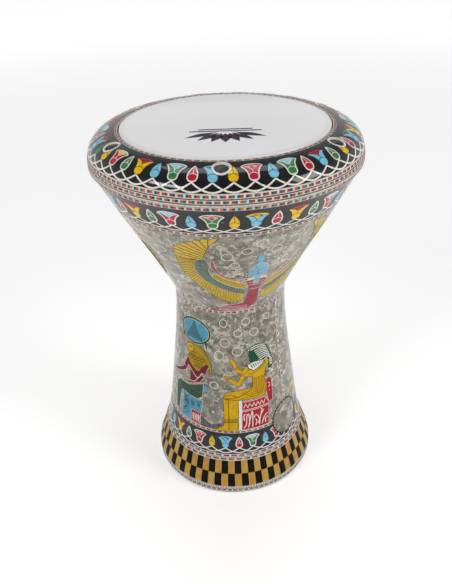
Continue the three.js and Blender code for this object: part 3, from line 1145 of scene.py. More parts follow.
@dataclass
class LotusBand:
    """A black band of lotus flowers that stand on crossing garlands.

    Attributes:
        name: The inlays' name.
        node: The frame's node.
        body: The body that it rides on.
        count: Flowers in a full turn.
        phase: Azimuth of flower 0, in degrees.
        foot: Height of the flowers' feet, in millimetres.
        garland: Heights of the garlands' low and high points, in millimetres.
        seen: Codes of the flowers from number first on.
        first: The number of the first coded flower.
        cycle: Codes of the rest.
        size: The flowers' size.
        string: Width of the garlands.
    """

    name: str
    node: str
    body: str
    count: int
    phase: float
    foot: float
    garland: tuple[float, float]
    seen: tuple[str, ...]
    first: int
    cycle: tuple[str, ...]
    size: float = 1.0
    string: float = 1.5 * MM

    def build(self, shop: Shop, cutter: Piece | None = None) -> None:
        """Makes the band.

        Args:
            shop: Where it is made.
            cutter: A tool that clears the screw wells.
        """
        ground_layer(shop, self.node, self.body, "black_inlay", Tint.BLACK, cutter)
        reference = float(shop.outline.radius_at(shop.outline.length_at(self.foot * MM)))
        inlay = Inlay(shop, self.name, reference, self.body, "black_inlay", cutter)
        flowers = Flowers(self.size)
        for number in range(-(self.count // 2), self.count - self.count // 2):
            place = number - self.first
            code = self.seen[place] if 0 <= place < len(self.seen) else self.cycle[place % len(self.cycle)]
            flowers.stand(inlay, code, inlay.at(self.phase + 360.0 / self.count * number, self.foot))
        flowers.clear()
        self._garlands(inlay)
        inlay.lay()

    def _garlands(self, inlay: Inlay) -> None:
        """Hangs a garland from each flower to the next but one."""
        low, high = (inlay.at(0, z)[1] for z in self.garland)
        pitch = math.tau * inlay.reference / self.count
        swing = [i / 9 - 1 for i in range(19)]
        line = [(t * pitch, low + (high - low) * abs(t) ** 1.8) for t in swing]
        pattern = ribbon("garland", line, self.string)
        start = inlay.at(self.phase, self.foot)[0]
        for number in range(self.count):
            offset = start + pitch * number
            inlay.add(Tint.WHITE, copied(pattern, offset), 0.03 * MM)
        scrap(pattern)


@dataclass(frozen=True)
class Row:
    """A row of red and blue cells.

    Attributes:
        low: Height of its lower edge, in millimetres.
        high: Height of its upper edge, in millimetres.
        units: Pairs of cells in a full turn.
        phase: Azimuth of the first pair, in degrees.
    """

    low: float
    high: float
    units: int
    phase: float = 0.0


@dataclass
class MosaicStrip:
    """A cream strip with rows of cells and thin black lines.

    Attributes:
        node: The frame's node.
        body: The body that it rides on.
        rows: Its rows of cells.
        lines: Lower and upper edges of its black lines, in millimetres.
        dots: Heights of rows of small dark dots, in millimetres.
        seed: Starts its random draws.
        flat: Whether its rows' edges are radii, because it lies flat on top.
    """

    node: str
    body: str
    rows: tuple[Row, ...]
    lines: tuple[Flat, ...] = ()
    dots: tuple[float, ...] = ()
    seed: int = 1
    flat: bool = False

    def build(self, shop: Shop) -> None:
        """Makes the strip."""
        ground_layer(shop, self.node, self.body, "mosaic_strip", Tint.CREAM)
        measure = shop.outline.length_in if self.flat else shop.outline.length_at
        middle = sum(shop.outline.spans[self.node]) / 2
        inlay = Inlay(shop, self.node, float(shop.outline.radius_at(middle)), self.body, "mosaic_strip")
        draw = random.Random(self.seed)
        for row in self.rows:
            self._lay_row(inlay, row, draw, [float(measure(edge * MM)) for edge in (row.low, row.high)])
        for height in self.dots:
            self._lay_dots(inlay, height)
        inlay.lay()
        for number, (low, high) in enumerate(self.lines, 1):
            ends = (float(shop.outline.length_at(z * MM)) for z in (low, high))
            profile = shop.outline.band(*ends, top=0.12 * MM, bottom=-INLAY_DEPTH)
            shop.deliver(turn(f"{self.node}_line_{number}", profile), Tint.BLACK, self.body, "black_inlay")

    @staticmethod
    def _lay_row(inlay: Inlay, row: Row, draw: random.Random, edges: Sequence[float]) -> None:
        """Lays one row of cells.

        Args:
            inlay: The strip's inlays.
            row: The row.
            draw: Gives each pair its order and its tints.
            edges: Where its edges lie along the outline.
        """
        start = math.radians(row.phase) * inlay.reference
        low, high = edges
        pitch = math.tau * inlay.reference / row.units
        width = pitch * CELL_SHARE
        cell = sliced(plate("cell", [(0, low), (width, low), (width, high), (0, high)]), along=CELL_SLICE)
        swapped = False
        for unit in range(row.units):
            swapped = not swapped if draw.random() < SWAP_CHANCE else swapped
            warm = Tint.CELL_ORANGE if draw.random() < ORANGE_CHANCE else Tint.CELL_RED
            cold = Tint.CELL_TEAL if draw.random() < TEAL_CHANCE else Tint.CELL_BLUE
            for side, tint in enumerate((cold, warm) if swapped else (warm, cold)):
                offset = start + pitch * (unit + 0.5 - CELL_SHARE) + width * side
                inlay.add(tint, copied(cell, offset))
        scrap(cell)

    @staticmethod
    def _lay_dots(inlay: Inlay, height: float, count: int = 200, size: float = 0.8 * MM) -> None:
        """Lays one row of small dots.

        Args:
            inlay: The strip's inlays.
            height: The row's height in millimetres.
            count: Dots in a full turn.
            size: Half a dot's width.
        """
        middle = inlay.at(0, height)[1]
        dot = plate("dot", [(-size, middle), (0, middle - size), (size, middle), (0, middle + size)])
        in_row(dot, count, math.tau * inlay.reference / count)
        inlay.add(Tint.NET_GREY, dot)


@dataclass
class CheckBand:
    """Two rows of gold and black tiles, shifted by one tile.

    Attributes:
        node: The frame's node.
        edges: Heights of the rows' edges, in millimetres.
        tiles: Tiles in a full turn.
        phase: Azimuth of a black tile's edge in the lower row, in degrees.
        joint: Width of the joints.
    """

    node: str = "foot_check_band"
    edges: tuple[float, ...] = (12.1, 28.6, 44.8)
    tiles: int = 72
    phase: float = -0.7
    joint: float = 0.2 * MM

    def build(self, shop: Shop) -> None:
        """Makes the band."""
        ground_layer(shop, self.node, SHELL_BODY, "gold_checks", Tint.BLACK_TILE)
        gold = GoldTile("gold_tile", self.tiles, 2600, self.edges[1] * MM)
        reference = float(shop.outline.radius_at(shop.outline.length_at(self.edges[1] * MM)))
        inlay = Inlay(shop, "check", reference, SHELL_BODY, "gold_checks")
        pitch = math.tau * inlay.reference / self.tiles
        for row, (low, high) in enumerate(zip(self.edges, self.edges[1:])):
            start, bottom = inlay.at(self.phase, low)
            top = inlay.at(self.phase, high)[1]
            for side, finish in enumerate((Tint.BLACK_TILE, gold)):
                left = start + pitch * ((side + row + 1) % 2)
                corner = [(left, bottom), (left + pitch - self.joint, bottom),
                          (left + pitch - self.joint, top - self.joint), (left, top - self.joint)]
                tile = sliced(plate("tile", corner))
                in_row(tile, self.tiles // 2, 2 * pitch)
                inlay.add(finish, tile)
        inlay.lay()


@dataclass
class PearlField:
    """A field of pearl chips with thin white rings let into it.

    Attributes:
        node: The frame's node.
        name: The rings' name.
        reference: The radius at which widths are true.
        rings: Azimuth in degrees and height in millimetres of the rings at the front.
        spread: How many more rings lie round the rest of it.
        heights: The lowest and highest of those.
        clear: Azimuths between which those stay out.
        radius: A ring's radius.
        line: Width of its line.
    """

    node: str
    name: str
    reference: float
    rings: tuple[Flat, ...]
    spread: int
    heights: tuple[float, float]
    clear: tuple[float, float]
    radius: float = 5.3 * MM
    line: float = 0.95 * MM

    def build(self, shop: Shop) -> None:
        """Makes the field."""
        ground_layer(shop, self.node, SHELL_BODY, "shell_mosaic", PearlShell())
        inlay = Inlay(shop, self.name, self.reference, SHELL_BODY, "white_inlay")
        draw = random.Random(5)
        places = list(self.rings)
        while len(places) < len(self.rings) + self.spread:
            spot = (draw.uniform(self.clear[1], 360 + self.clear[0]), draw.uniform(*self.heights))
            if all(math.dist(inlay.at(*spot), inlay.at(*other)) > 3 * self.radius for other in places):
                places.append(spot)
        for spot in places:
            x, y = inlay.at(*spot)
            wide = draw.uniform(0.85, 1.2) * self.radius
            tall = wide * draw.uniform(0.8, 1.0)
            inlay.draw(Tint.FAINT_WHITE, oval(x, y, wide, tall, 20), self.line, closed=True)
        inlay.lay()


Region = tuple[Tint, Tint | None, tuple[Flat, ...]]
Stroke = tuple[Tint, float, tuple[Flat, ...]]


def pen(tint: Tint, width: float, *lines: Sequence[Flat]) -> list[Stroke]:
    """Strokes in one tint and one width."""
    return [(tint, width, tuple(line)) for line in lines]


@dataclass
class Picture:
    """A figure of coloured inlays, at one or more places round the drum.

    Attributes:
        name: The inlays' name.
        reference: The radius at which line widths are true.
        regions: A tint, an edge tint or None, and the corners of each coloured region, the lowest first.
        strokes: A tint, a width in millimetres and the points of each line.
        turns: The azimuths that the figure is turned by, in degrees.
        edge: Width of the regions' edges.
        pen: How much wider than its stated width each line is.
    """

    name: str
    reference: float
    regions: tuple[Region, ...]
    strokes: tuple[Stroke, ...]
    turns: tuple[float, ...] = (0.0,)
    edge: float = 0.5 * MM
    pen: float = 1.0

    def build(self, shop: Shop) -> None:
        """Makes the picture."""
        inlay = Inlay(shop, self.name, self.reference, SHELL_BODY, "shell_mosaic")
        for layer, (tint, edge, places) in enumerate(self.regions):
            points = [inlay.at(*place) for place in places]
            inlay.cut(tint, points, LAYER * layer)
            if edge:
                inlay.draw(edge, points, self.edge, LAYER * layer + 0.005 * MM, closed=True)
        above = LAYER * len(self.regions) + 0.01 * MM
        for tint, width, places in self.strokes:
            inlay.draw(tint, [inlay.at(*place) for place in places], self.pen * width * MM, above)
        for finish, sheets in inlay.sheets.items():
            whole = joined(self.name, sheets)
            turned = [copied(whole, math.radians(degrees) * self.reference) for degrees in self.turns[1:]]
            inlay.sheets[finish] = [whole, *turned]
        inlay.lay()


# ---------------------------------------------------------------- the figures


def mirrored(points: Sequence[Flat], axis: float, side: int) -> tuple[Flat, ...]:
    """Points given by their distance from an upright axis, as azimuths on one side of it."""
    return tuple((axis + side * x, z) for x, z in points)


def part_way(line: Sequence[Flat], share: float) -> Flat:
    """The point at a share of a line's length.

    Args:
        line: The line's corners.
        share: From 0 at its start to 1 at its end.

    Returns:
        The point.
    """
    knots = np.array(line, dtype=float)
    lengths = np.concatenate([[0], np.cumsum(np.linalg.norm(np.diff(knots, axis=0), axis=1))])
    at = share * lengths[-1]
    return float(np.interp(at, lengths, knots[:, 0])), float(np.interp(at, lengths, knots[:, 1]))


def barbs(outer: Sequence[Flat], inner: Sequence[Flat], count: int, lag: float) -> list[tuple[Flat, ...]]:
    """Lines that slant across a band of feathers.

    Args:
        outer: The band's outer edge.
        inner: Its inner edge.
        count: How many lines.
        lag: How far each line's inner end lags behind its outer end, as a share of the band.

    Returns:
        The lines.
    """
    lines = []
    for i in range(count):
        share = (i + 0.5) / count
        a, b = part_way(outer, share), part_way(inner, max(0.0, share - lag))
        lines.append((a, ((a[0] + b[0]) / 2, (a[1] + b[1]) / 2 - 0.6), b))
    return lines


def scalloped(outer: Sequence[Flat], inner: Sequence[Flat], corner: int, feathers: int) -> tuple[Flat, ...]:
    """An outline whose first stretch ends in rounded feathers.

    Args:
        outer: The outline.
        inner: The opposite edge of the band, which the feathers grow from.
        corner: How many of the outline's corners the stretch has.
        feathers: How many feathers lie along it.

    Returns:
        The outline with two points for each feather in place of that stretch.
    """
    points = []
    for i in range(2 * feathers + 1):
        edge = part_way(outer[:corner], i / (2 * feathers))
        root = part_way(inner, 0.3 * i / (2 * feathers))
        reach = 1.11 if i % 2 else 0.95
        points.append(tuple(a + (b - a) * reach for a, b in zip(root, edge)))
    return (*points, *outer[corner:])


@dataclass
class WingedFigure:
    """A figure with both wings raised, in the middle of the bowl.

    Attributes:
        axis: Azimuth of its middle, in degrees.
        turns: The turns at which it is repeated.
    """

    axis: float = 18.9
    turns: tuple[float, ...] = (0.0, 120.0, 240.0)

    WING = (
        (23.4, 360), (28, 359), (31.8, 357.5), (36.6, 353.5), (41.8, 349), (47.1, 341), (49, 330.4),
        (50.4, 317), (50, 308), (48.1, 296.5), (44.2, 287.6), (38.5, 277.3), (31.8, 269.2), (25.1, 263.3),
        (18.4, 258.4), (12.7, 258.9), (8.9, 260),
    )
    WING_INNER = (
        (28, 349.6), (31.3, 337.8), (32.8, 329.7), (36.6, 327.5), (39.3, 320.1), (39.9, 311.2),
        (39, 303.9), (36.6, 296.5), (31.8, 289), (25.1, 281.7), (17.5, 275.8), (11.8, 272.9),
        (6.5, 270.7),
    )
    COVERTS = (
        (31.4, 327.6), (30.4, 317.1), (31.8, 311), (30.8, 302.4), (27, 295), (20.3, 287.6), (12.7, 281.7),
        (6.8, 280),
    )
    SHOULDER = (
        (28.9, 308.3), (30.1, 303.1), (27, 295.8), (20.3, 288.4), (12.7, 282.5), (6.8, 280.6),
        (7.5, 287.6), (12.7, 292.8), (18.5, 296.5), (24.2, 301.6), (27, 306.8),
    )
    ARM = (
        (8, 296.5), (17.5, 298), (23.2, 301.6), (27, 308.3), (29.7, 317), (29.1, 326), (27.5, 327.5),
        (27.2, 317), (25.1, 308), (21.3, 302.4), (14.6, 299.5), (8, 297.7),
    )
    BODY = (
        (-8.8, 297.2), (-7.5, 290.5), (-5.6, 283.2), (-5.1, 274.4), (-7.5, 258.2), (-8, 256),
        (-15, 254.5), (-33.3, 250.5), (-33.6, 247.2), (-27, 245.7), (-17.5, 245.3), (-2.2, 245.8),
        (6.4, 253.7), (5.9, 262.6), (4.5, 274.4), (5, 283.2), (7.3, 290.5), (8.8, 297.2),
    )
    COLLAR = ((-7.9, 293), (-6.5, 297.4), (0, 298.8), (6.5, 297.4), (7.9, 293), (0, 294.6))
    WIG = (
        (-7.5, 307.6), (-5.1, 314.2), (-2.2, 318.6), (1.6, 319.4), (5, 314.2), (6.1, 306.8), (5, 301.7),
        (2.1, 299.4), (1.6, 286.9), (-2.2, 286.9), (-2.2, 298.7), (-6.5, 299.4),
    )
    PLUME = ((-3.2, 332.6), (-1.2, 330.4), (-0.6, 333.4), (0.8, 328.9), (0.8, 319.4), (-2.7, 319.4))
    FACE_LINES = (
       
        ((-7.2, 308.2), (-7.9, 306.4), (-7.0, 305.6), (-7.2, 304.2), (-6.4, 303.2), (-6.2, 301.6),
         (-4.6, 300.8)),
        ((-5.6, 308), (-4.4, 309), (-3, 308.4)), ((-3.2, 314.5), (-1, 309), (-0.6, 300.5)),
    )

    def picture(self) -> Picture:
        """Draws the figure.

        Returns:
            The picture.
        """
        regions: list[Region] = []
        strokes: list[Stroke] = []
        for side in (-1, 1):
            inner = mirrored(self.WING_INNER, self.axis, side)
            wing = scalloped(mirrored(self.WING, self.axis, side), inner, 7, 9)
            coverts = mirrored(self.COVERTS, self.axis, side)
            regions.append((Tint.OCHRE, Tint.DARK_LINE, wing + tuple(reversed(inner))))
            regions.append((Tint.GREY_GREEN, Tint.FAINT_WHITE, inner[2:] + tuple(reversed(coverts))))
            regions.append((Tint.OCHRE, Tint.FAINT_WHITE, mirrored(self.SHOULDER, self.axis, side)))
            regions.append((Tint.ROSE, Tint.FAINT_WHITE, mirrored(self.ARM, self.axis, side)))
            strokes += pen(Tint.DARK_LINE, 0.42, *barbs(wing[18:], inner[3:], 32, 0.07))
            quills = ((wing[2 * i], part_way(inner[:4], i / 9)) for i in range(1, 9))
            strokes += pen(Tint.DARK_LINE, 0.55, *quills)
            strokes += pen(Tint.DARK_GREEN, 0.4, *barbs(inner[3:], coverts, 30, 0.06))
            for share in (0.3, 0.62):
                low, high = self.SHOULDER[1:6], tuple(reversed(self.SHOULDER[6:]))
                run = [part_way(low, s / 6) for s in range(7)]
                rise = [part_way(high, s / 6) for s in range(7)]
                line = tuple(tuple(p + (q - p) * share for p, q in zip(a, b)) for a, b in zip(run, rise))
                strokes.append((Tint.DARK_LINE, 0.4, mirrored(line, self.axis, side)))
        for tint, edge, shape in (
            (Tint.ROSE, Tint.FAINT_WHITE, self.BODY), (Tint.FAINT_WHITE, None, self.COLLAR),
            (Tint.SKY_PALE, Tint.FAINT_WHITE, self.WIG), (Tint.SKY_PALE, None, self.PLUME),
        ):
            regions.append((tint, edge, mirrored(shape, self.axis, 1)))
        for z in (289, 285, 278):
            half = 4.4 if z < 280 else 5.6
            sash = ((-half, z + 1), (0, z), (half, z + 1))
            strokes.append((Tint.FAINT_WHITE, 0.55, mirrored(sash, self.axis, 1)))
        for z in (250.6, 248.6, 246.8):
            swell = tuple((-31 + 4 * i, z + (0.5 if i % 2 else -0.3)) for i in range(8))
            strokes.append((Tint.FAINT_WHITE, 0.5, mirrored(swell, self.axis, 1)))
        for i in range(11):
            z = 274 - 2.2 * i
            wave = ((-4.6, z), (-1, z - 1.6), (2, z - 0.4), (4.6, z - 2))
            strokes.append((Tint.DARK_RED, 0.4, mirrored(wave, self.axis, 1)))
        strokes += pen(Tint.DARK_LINE, 0.4, *(mirrored(line, self.axis, 1) for line in self.FACE_LINES))
        return Picture("winged_figure", 100 * MM, tuple(regions), tuple(strokes), self.turns, 0.4 * MM)


@dataclass
class StemScene:
    """The figures round the stem, all seated and facing left.

    Attributes:
        reference: The radius at which line widths are true.
    """

    reference: float = 74 * MM

    DISC = (-40.1, 210.8)
    FALCON_HEAD = (
        (-51.3, 187.6), (-48.3, 191.9), (-43.2, 192.5), (-35, 192.5), (-28.8, 188.8), (-24.2, 181.4),
        (-20.6, 171.4), (-20.1, 160.2), (-22.7, 160.2), (-22.7, 169), (-25.8, 171.4), (-29.8, 166.5),
        (-33.9, 159), (-37.5, 159), (-44.2, 165.2), (-48.3, 171.4), (-47.2, 178.9), (-49.3, 185.1),
    )
    FALCON_FACE = (
        (-50.6, 187.4), (-48.0, 191.2), (-43.4, 191.7), (-41.2, 188.6), (-41.6, 184.0), (-44.6, 179.8),
        (-46.6, 178.9), (-48.7, 185.0),
    )
    FALCON_ARMS = (
        (-49.3, 171.4), (-52.9, 161.5), (-55.4, 154), (-64.6, 146.6), (-73.9, 140.4), (-66, 141),
        (-55.4, 147.8), (-50.3, 152.8), (-47.2, 161.5), (-45.2, 160), (-44.7, 142.9), (-55.9, 139.1),
        (-55.9, 136.6), (-44.2, 137.9), (-31.9, 145.3), (-26.8, 156.5), (-22.7, 170.2), (-24.7, 171.4),
    )
    FALCON_LEGS = (
        (-28.8, 144.7), (-29.3, 126.7), (-35, 120.5), (-55.4, 121.7), (-57, 111.8), (-58, 90.7),
        (-63.1, 90), (-64.6, 109.3), (-64.6, 126.7), (-60.6, 132.9), (-46.2, 134.8),
    )
    BLUE_CHAIR = (
        (-52.9, 121.7), (-53.9, 87), (-42.1, 86.3), (-41.1, 103), (-30.9, 102.5), (-28.8, 120.5),
        (-35, 120.5),
    )
    RED_BOX = ((-41.1, 103), (-30.9, 102.5), (-31.9, 86.9), (-42.1, 86.3))
    WIG = (
        (17.2, 195), (21.5, 196.4), (26.4, 196.6), (30.5, 196.4), (33.6, 195), (36.4, 190.5), (38.2, 185),
        (40.6, 178), (42.4, 170), (42.0, 163), (39.6, 159.5), (36.4, 160), (36.2, 172), (33.1, 175),
        (26.4, 176.4), (23.4, 183.9), (21.3, 190), (17.2, 190.7),
    )
    FACE = (
        (17.0, 191.2), (21.6, 190.8), (23.6, 184.2), (26.4, 176.6), (21.0, 174.4), (17.6, 175.6),
        (16.2, 177.4), (16.6, 179.6), (15.9, 181.0), (16.3, 182.2), (14.9, 184.0), (16.3, 187.2),
        (16.1, 189.6),
    )
    NECKLACE = (
        (13.7, 172.7), (20.5, 175.6), (31.6, 174.5), (31.6, 170.2), (26, 166.6), (20.3, 163.4),
        (15.2, 167.7),
    )
    NEAR_ARM = (
        (12.6, 171.4), (8.5, 166), (5, 171.4), (1.9, 179.5), (-1.7, 183.3), (-3.2, 182), (-0.7, 175.2),
        (2.9, 166.5), (7, 161.5),
    )
    TORSO = (
        (12.6, 171.4), (19.8, 163.4), (31.6, 170.2), (34.6, 173.9), (37.2, 171.4), (36.7, 166.5),
        (32.6, 161.5), (31.1, 151.6), (18.3, 150.3), (18.8, 156.5), (12.1, 157.8), (7, 161.5),
    )
    FAR_ARM = (
        (12.1, 158.6), (6.8, 146.4), (3.6, 146.6), (-7.6, 155.6), (-8.8, 158.2), (-7.0, 160.2),
        (-4.6, 158.4), (4.4, 151.8), (8.2, 161.4),
    )
    HIPS = (
        (18.3, 151), (31.1, 151), (32.6, 136.7), (30.6, 129.2), (27.5, 126.7), (5, 127.3), (-9.4, 128.2),
        (-8.9, 133.0), (-7.0, 136.8), (-4.3, 138.7), (8, 140.8), (18.3, 142.3),
    )
    SHIN = (
        (-9.4, 129.2), (-8.7, 97), (-9.4, 91.9), (-16.5, 85.4), (-16.5, 84.5), (2.9, 84.8), (3.4, 99.4),
        (4.4, 127.6),
    )
    SEAT = ((7.5, 124.9), (28.5, 126.1), (33.6, 115.6), (31.6, 85.7), (6.5, 85.7))
    SEAT_FRONT = ((4.6, 126.5), (7.3, 126.5), (6.5, 86), (3.9, 86))
    BACK = (
        (31.6, 131), (32.6, 140), (32.0, 144.6), (33.6, 147.8), (36.8, 147.8), (38.5, 145), (38.8, 128),
        (37.8, 115.6), (33.4, 115.2),
    )
    CHIPS = (
        (-31, 98.5), (-27.5, 97.4), (-24, 93.6), (-20, 91.4), (-16.5, 93.2), (-12.4, 94.6), (-10.2, 92.6),
        (-12.6, 90.6), (-14, 87.4), (-17, 85.6), (-24, 85.4), (-30.4, 85.6),
    )
    REEDS = (
        ((8.4, 88), (10.6, 93), (11.2, 104), (13, 106), (13.6, 92)),
        ((12.2, 88), (15.4, 106), (16.8, 108.4), (16, 88)),
        ((17.6, 100), (20, 103.6), (22.6, 97), (21.4, 91)), ((22.4, 88.4), (23.8, 100), (27.6, 107.6)),
        ((25, 88.6), (27.4, 97), (31, 100.8)), ((9, 98), (8.6, 104), (10.2, 107.6)),
        ((19, 89), (20, 95), (18.8, 98)), ((28.6, 88.6), (28.4, 93.6), (31, 96.4)),
        ((24.4, 103.6), (26, 108.6), (24.6, 109.4)),
    )

    def falcon(self) -> Picture:
        """Draws the falcon-headed figure under its disc.

        Returns:
            The picture.
        """
        x, z = self.DISC
        regions: tuple[Region, ...] = (
            (Tint.DARK_GREEN, Tint.FAINT_WHITE, oval(x, z, 19.2, 17.0, 28)),
            (Tint.SKY, Tint.FAINT_WHITE, oval(x, z, 16.9, 14.0, 28)),
            (Tint.DARK_GREEN, None, ((-56, 203), (-53.6, 202), (-57.5, 194))),
            (Tint.DARK_GREEN, None, ((-28.6, 201), (-25.8, 202), (-25.2, 189))),
            (Tint.DARK_RED, Tint.FAINT_WHITE, self.FALCON_ARMS),
            (Tint.DULL_GREEN, Tint.FAINT_WHITE, self.FALCON_LEGS),
            (Tint.SKY, Tint.FAINT_WHITE, self.BLUE_CHAIR),
            (Tint.SEAT_RED, Tint.FAINT_WHITE, self.RED_BOX),
            (Tint.SKY, None, oval(-25.4, 138.5, 2.6, 3.2, 28)),
            (Tint.BRONZE, Tint.DARK_LINE, self.FALCON_HEAD),
            (Tint.AMBER, None, self.FALCON_FACE),
        )
        strokes: list[Stroke] = []
        for i in range(15):
            half, level = 0.6 + 0.7 * i, 222.0 - 1.5 * i
            strokes.append((Tint.DARK_LINE, 0.36, ((x - half, level + 0.8), (x + half, level - 0.8))))
        strokes += [
            (Tint.DARK_LINE, 1.1, ((-45.6, 188.0), (-43.2, 187.2))),
            (Tint.DARK_LINE, 0.4, ((-42.8, 191.4), (-40.4, 188.6), (-40.8, 183.6), (-44.6, 179.4))),
            (Tint.DARK_LINE, 0.35, ((-46.0, 181.2), (-36.5, 183.4), (-29.0, 178.0), (-24.4, 172.0))),
            *pen(Tint.FAINT_WHITE, 0.6, ((-46.8, 161), (-36, 149.6), (-33.4, 151.4), (-30.2, 158.4)),
                 ((-55, 138), (-43.6, 141.6), (-38.6, 143.4), (-34.2, 150.4))),
            *pen(Tint.FAINT_WHITE, 0.5, ((-31.6, 156.4), (-27.8, 157.6)), ((-31.0, 154.4), (-27.4, 155.4)),
                 ((-54.6, 158.8), (-51.6, 157.4))),
            *pen(Tint.DARK_LINE, 0.35, ((-60, 131.6), (-46, 131.8), (-35, 125.4), (-31.2, 124.2)),
                 ((-58.2, 128), (-50, 127.4), (-44, 124), (-38, 123))),
        ]
        draw = random.Random(11)
        for row in range(4):
            level = 176.6 - 3.9 * row
            left, right = -45.6 + 1.9 * row, -27.6 - 0.8 * row
            wave = tuple((left + (right - left) * i / 8, level + (1.5 if i % 2 else -1.3)) for i in range(9))
            strokes.append((Tint.DARK_LINE, 0.6, curve_through(wave, 2)))
        for _ in range(26):
            a, b = draw.uniform(-51.6, -33), draw.uniform(104.5, 117.5)
            up = (a + draw.uniform(-2.6, 3.4), b + draw.uniform(2, 4.5))
            down = (a + draw.uniform(1, 3), b - draw.uniform(0, 3))
            strokes += pen(Tint.DARK_LINE, 0.34, ((a, b), up, down))
        for _ in range(16):
            a, b = draw.uniform(-52, -45), draw.uniform(88.5, 103)
            end = (a + draw.uniform(1, 3), b + draw.uniform(-3, 4.5))
            strokes += pen(Tint.DARK_LINE, 0.34, ((a, b), end))
        for i in range(5):
            a = -40.6 + 1.9 * i
            loop = ((a, 88.4), (a + 0.5, 96), (a + 1.6, 99.6), (a + 1.7, 89.6))
            strokes += pen(Tint.FAINT_WHITE, 0.5, loop)
        return Picture("falcon_figure", self.reference, regions, tuple(strokes), (0.0, 150.0), pen=1.5)

    def sitter(self) -> Picture:
        """Draws the seated figure with the striped wig.

        Returns:
            The picture.
        """
        regions: tuple[Region, ...] = (
            (Tint.SEAT_RED, Tint.FAINT_WHITE, self.BACK),
            (Tint.SEAT_RED, Tint.FAINT_WHITE, self.SEAT),
            (Tint.WHITE, None, self.SEAT_FRONT),
            (Tint.GREEN_DEEP, None, self.FACE),
            (Tint.GREEN_DEEP, None, self.WIG),
            *((Tint.AMBER, Tint.DARK_LINE, limb)
              for limb in (self.FAR_ARM, self.NEAR_ARM, self.TORSO, self.HIPS, self.SHIN)),
            (Tint.WHITE, Tint.GREEN_DEEP, self.NECKLACE),
        )
        strokes: list[Stroke] = []
        for i in range(13):
            z = 194.4 - 2.5 * i
            left = float(np.interp(z, (162, 172, 176.4, 183, 190, 191), (38.2, 38.2, 27.6, 24.6, 21.8, 18.0)))
            right = float(np.interp(z, (162, 169, 177, 185, 190, 195), (41.0, 41.6, 39.8, 37.4, 35.6, 33.6)))
            third = (right - left) / 3
            bow = ((left, z - 1.2), (left + third, z + 0.5), (left + 2 * third, z + 0.5), (right, z - 1.4))
            strokes.append((Tint.WHITE, 0.85, bow))
        beads = (((17.4 + 2.3 * i, 172.4 + 0.2 * i), (19.2 + 2.1 * i, 167.4 + 0.8 * i)) for i in range(6))
        strokes += pen(Tint.GREEN_DEEP, 0.95, *beads)
        strokes.append((Tint.GREEN_DEEP, 1.0, self.NECKLACE + self.NECKLACE[:1]))
        strokes += [
            *pen(Tint.DARK_LINE, 0.45, ((14, 160.6), (20.5, 160.2), (28, 164.8), (33.4, 170.4)),
                 ((8.4, 161), (13, 163.4), (16.6, 167.6))),
            *pen(Tint.DARK_LINE, 0.5, ((18.6, 153), (31.4, 153.8)), ((-4.8, 129), (-4.6, 100), (-4.8, 86))),
            *pen(Tint.DARK_LINE, 0.45, ((-9.0, 129.4), (4, 131), (12, 136), (18, 141.6)),
                 ((-8.8, 132.6), (-2, 134.8), (4, 131))),
            *pen(Tint.DARK_LINE, 0.4, ((5.4, 128.4), (14, 130), (24, 128.8)), ((-7.2, 157.8), (-3.8, 154.4)),
                 ((-3.0, 156.6), (-5.6, 153.6)), ((3.4, 171), (6.4, 167.4)), ((4.4, 172.4), (2.2, 169.2))),
            *pen(Tint.DARK_LINE, 0.6, *(((-8.8, z), (3.4, z + 0.2)) for z in (96.8, 98.6, 100.6))),
            *pen(Tint.DARK_LINE, 0.4, *(((19.2 + 1.6 * i, 149.4), (17.8 + 1.9 * i, 144 - 0.6 * i),
                                         (22 + 1.25 * i, 133 - 0.35 * i)) for i in range(8))),
            *pen(Tint.DARK_LINE, 0.35, *(((8 + 3 * i, 139.4), (10 + 3.6 * i, 134.4), (17 + 3.4 * i, 130))
                                         for i in range(4))),
        ]
        zigzag = tuple((8.8 + 1.9 * i, 121.2 if i % 2 else 115.4) for i in range(12))
        strokes += [
            *pen(Tint.WHITE, 0.65, zigzag, ((7.4, 112.6), (20, 113.2), (33, 113.6))),
            *pen(Tint.WHITE, 0.5, ((7.4, 110.8), (20, 111.4), (33, 111.6)),
                 ((9, 123.6), (20, 124), (29, 124.6))),
            *pen(Tint.WHITE, 0.85, *(curve_through(line, 3) for line in self.REEDS)),
            *pen(Tint.WHITE, 0.8, ((34.6, 141), (36.4, 139)), ((34.2, 135), (36.4, 136.6))),
            (Tint.WHITE, 0.7, ((34.6, 130), (35.6, 131))),
        ]
        return Picture("seated_figure", self.reference, regions, tuple(strokes), (0.0, 150.0, 226.0), pen=1.3)

    def table(self) -> Picture:
        """Draws the offering table on the stem's far side.

        Returns:
            The picture.
        """
        regions: tuple[Region, ...] = (
            (Tint.YELLOW, Tint.DARK_LINE, ((69.6, 88), (72.6, 88), (72, 108), (70.2, 108))),
            (Tint.YELLOW, Tint.DARK_LINE, ((64.6, 108), (78.4, 108), (77.2, 112.4), (65.8, 112.4))),
            (Tint.GREEN, Tint.FAINT_WHITE, ((66.4, 113), (68.4, 121), (71.2, 125.6), (74, 121), (76.2, 113))),
        )
        strokes = pen(Tint.WHITE, 0.6, ((71.2, 113.4), (71.2, 124)), ((68.6, 114), (70, 122.4)),
                      ((73.8, 114), (72.4, 122.4)))
        return Picture("offering_table", self.reference, regions, tuple(strokes), (0.0, 126.0))

    def build(self, shop: Shop) -> None:
        """Makes the figures and the dark chips by their feet."""
        for picture in (self.falcon(), self.sitter(), self.table()):
            picture.build(shop)
        chips = Inlay(shop, "dark_chips", self.reference, SHELL_BODY, "shell_mosaic")
        for turned in (0, 150):
            chips.cut(DARK_CHIPS, [chips.at(x + turned, z) for x, z in self.CHIPS])
        chips.lay()


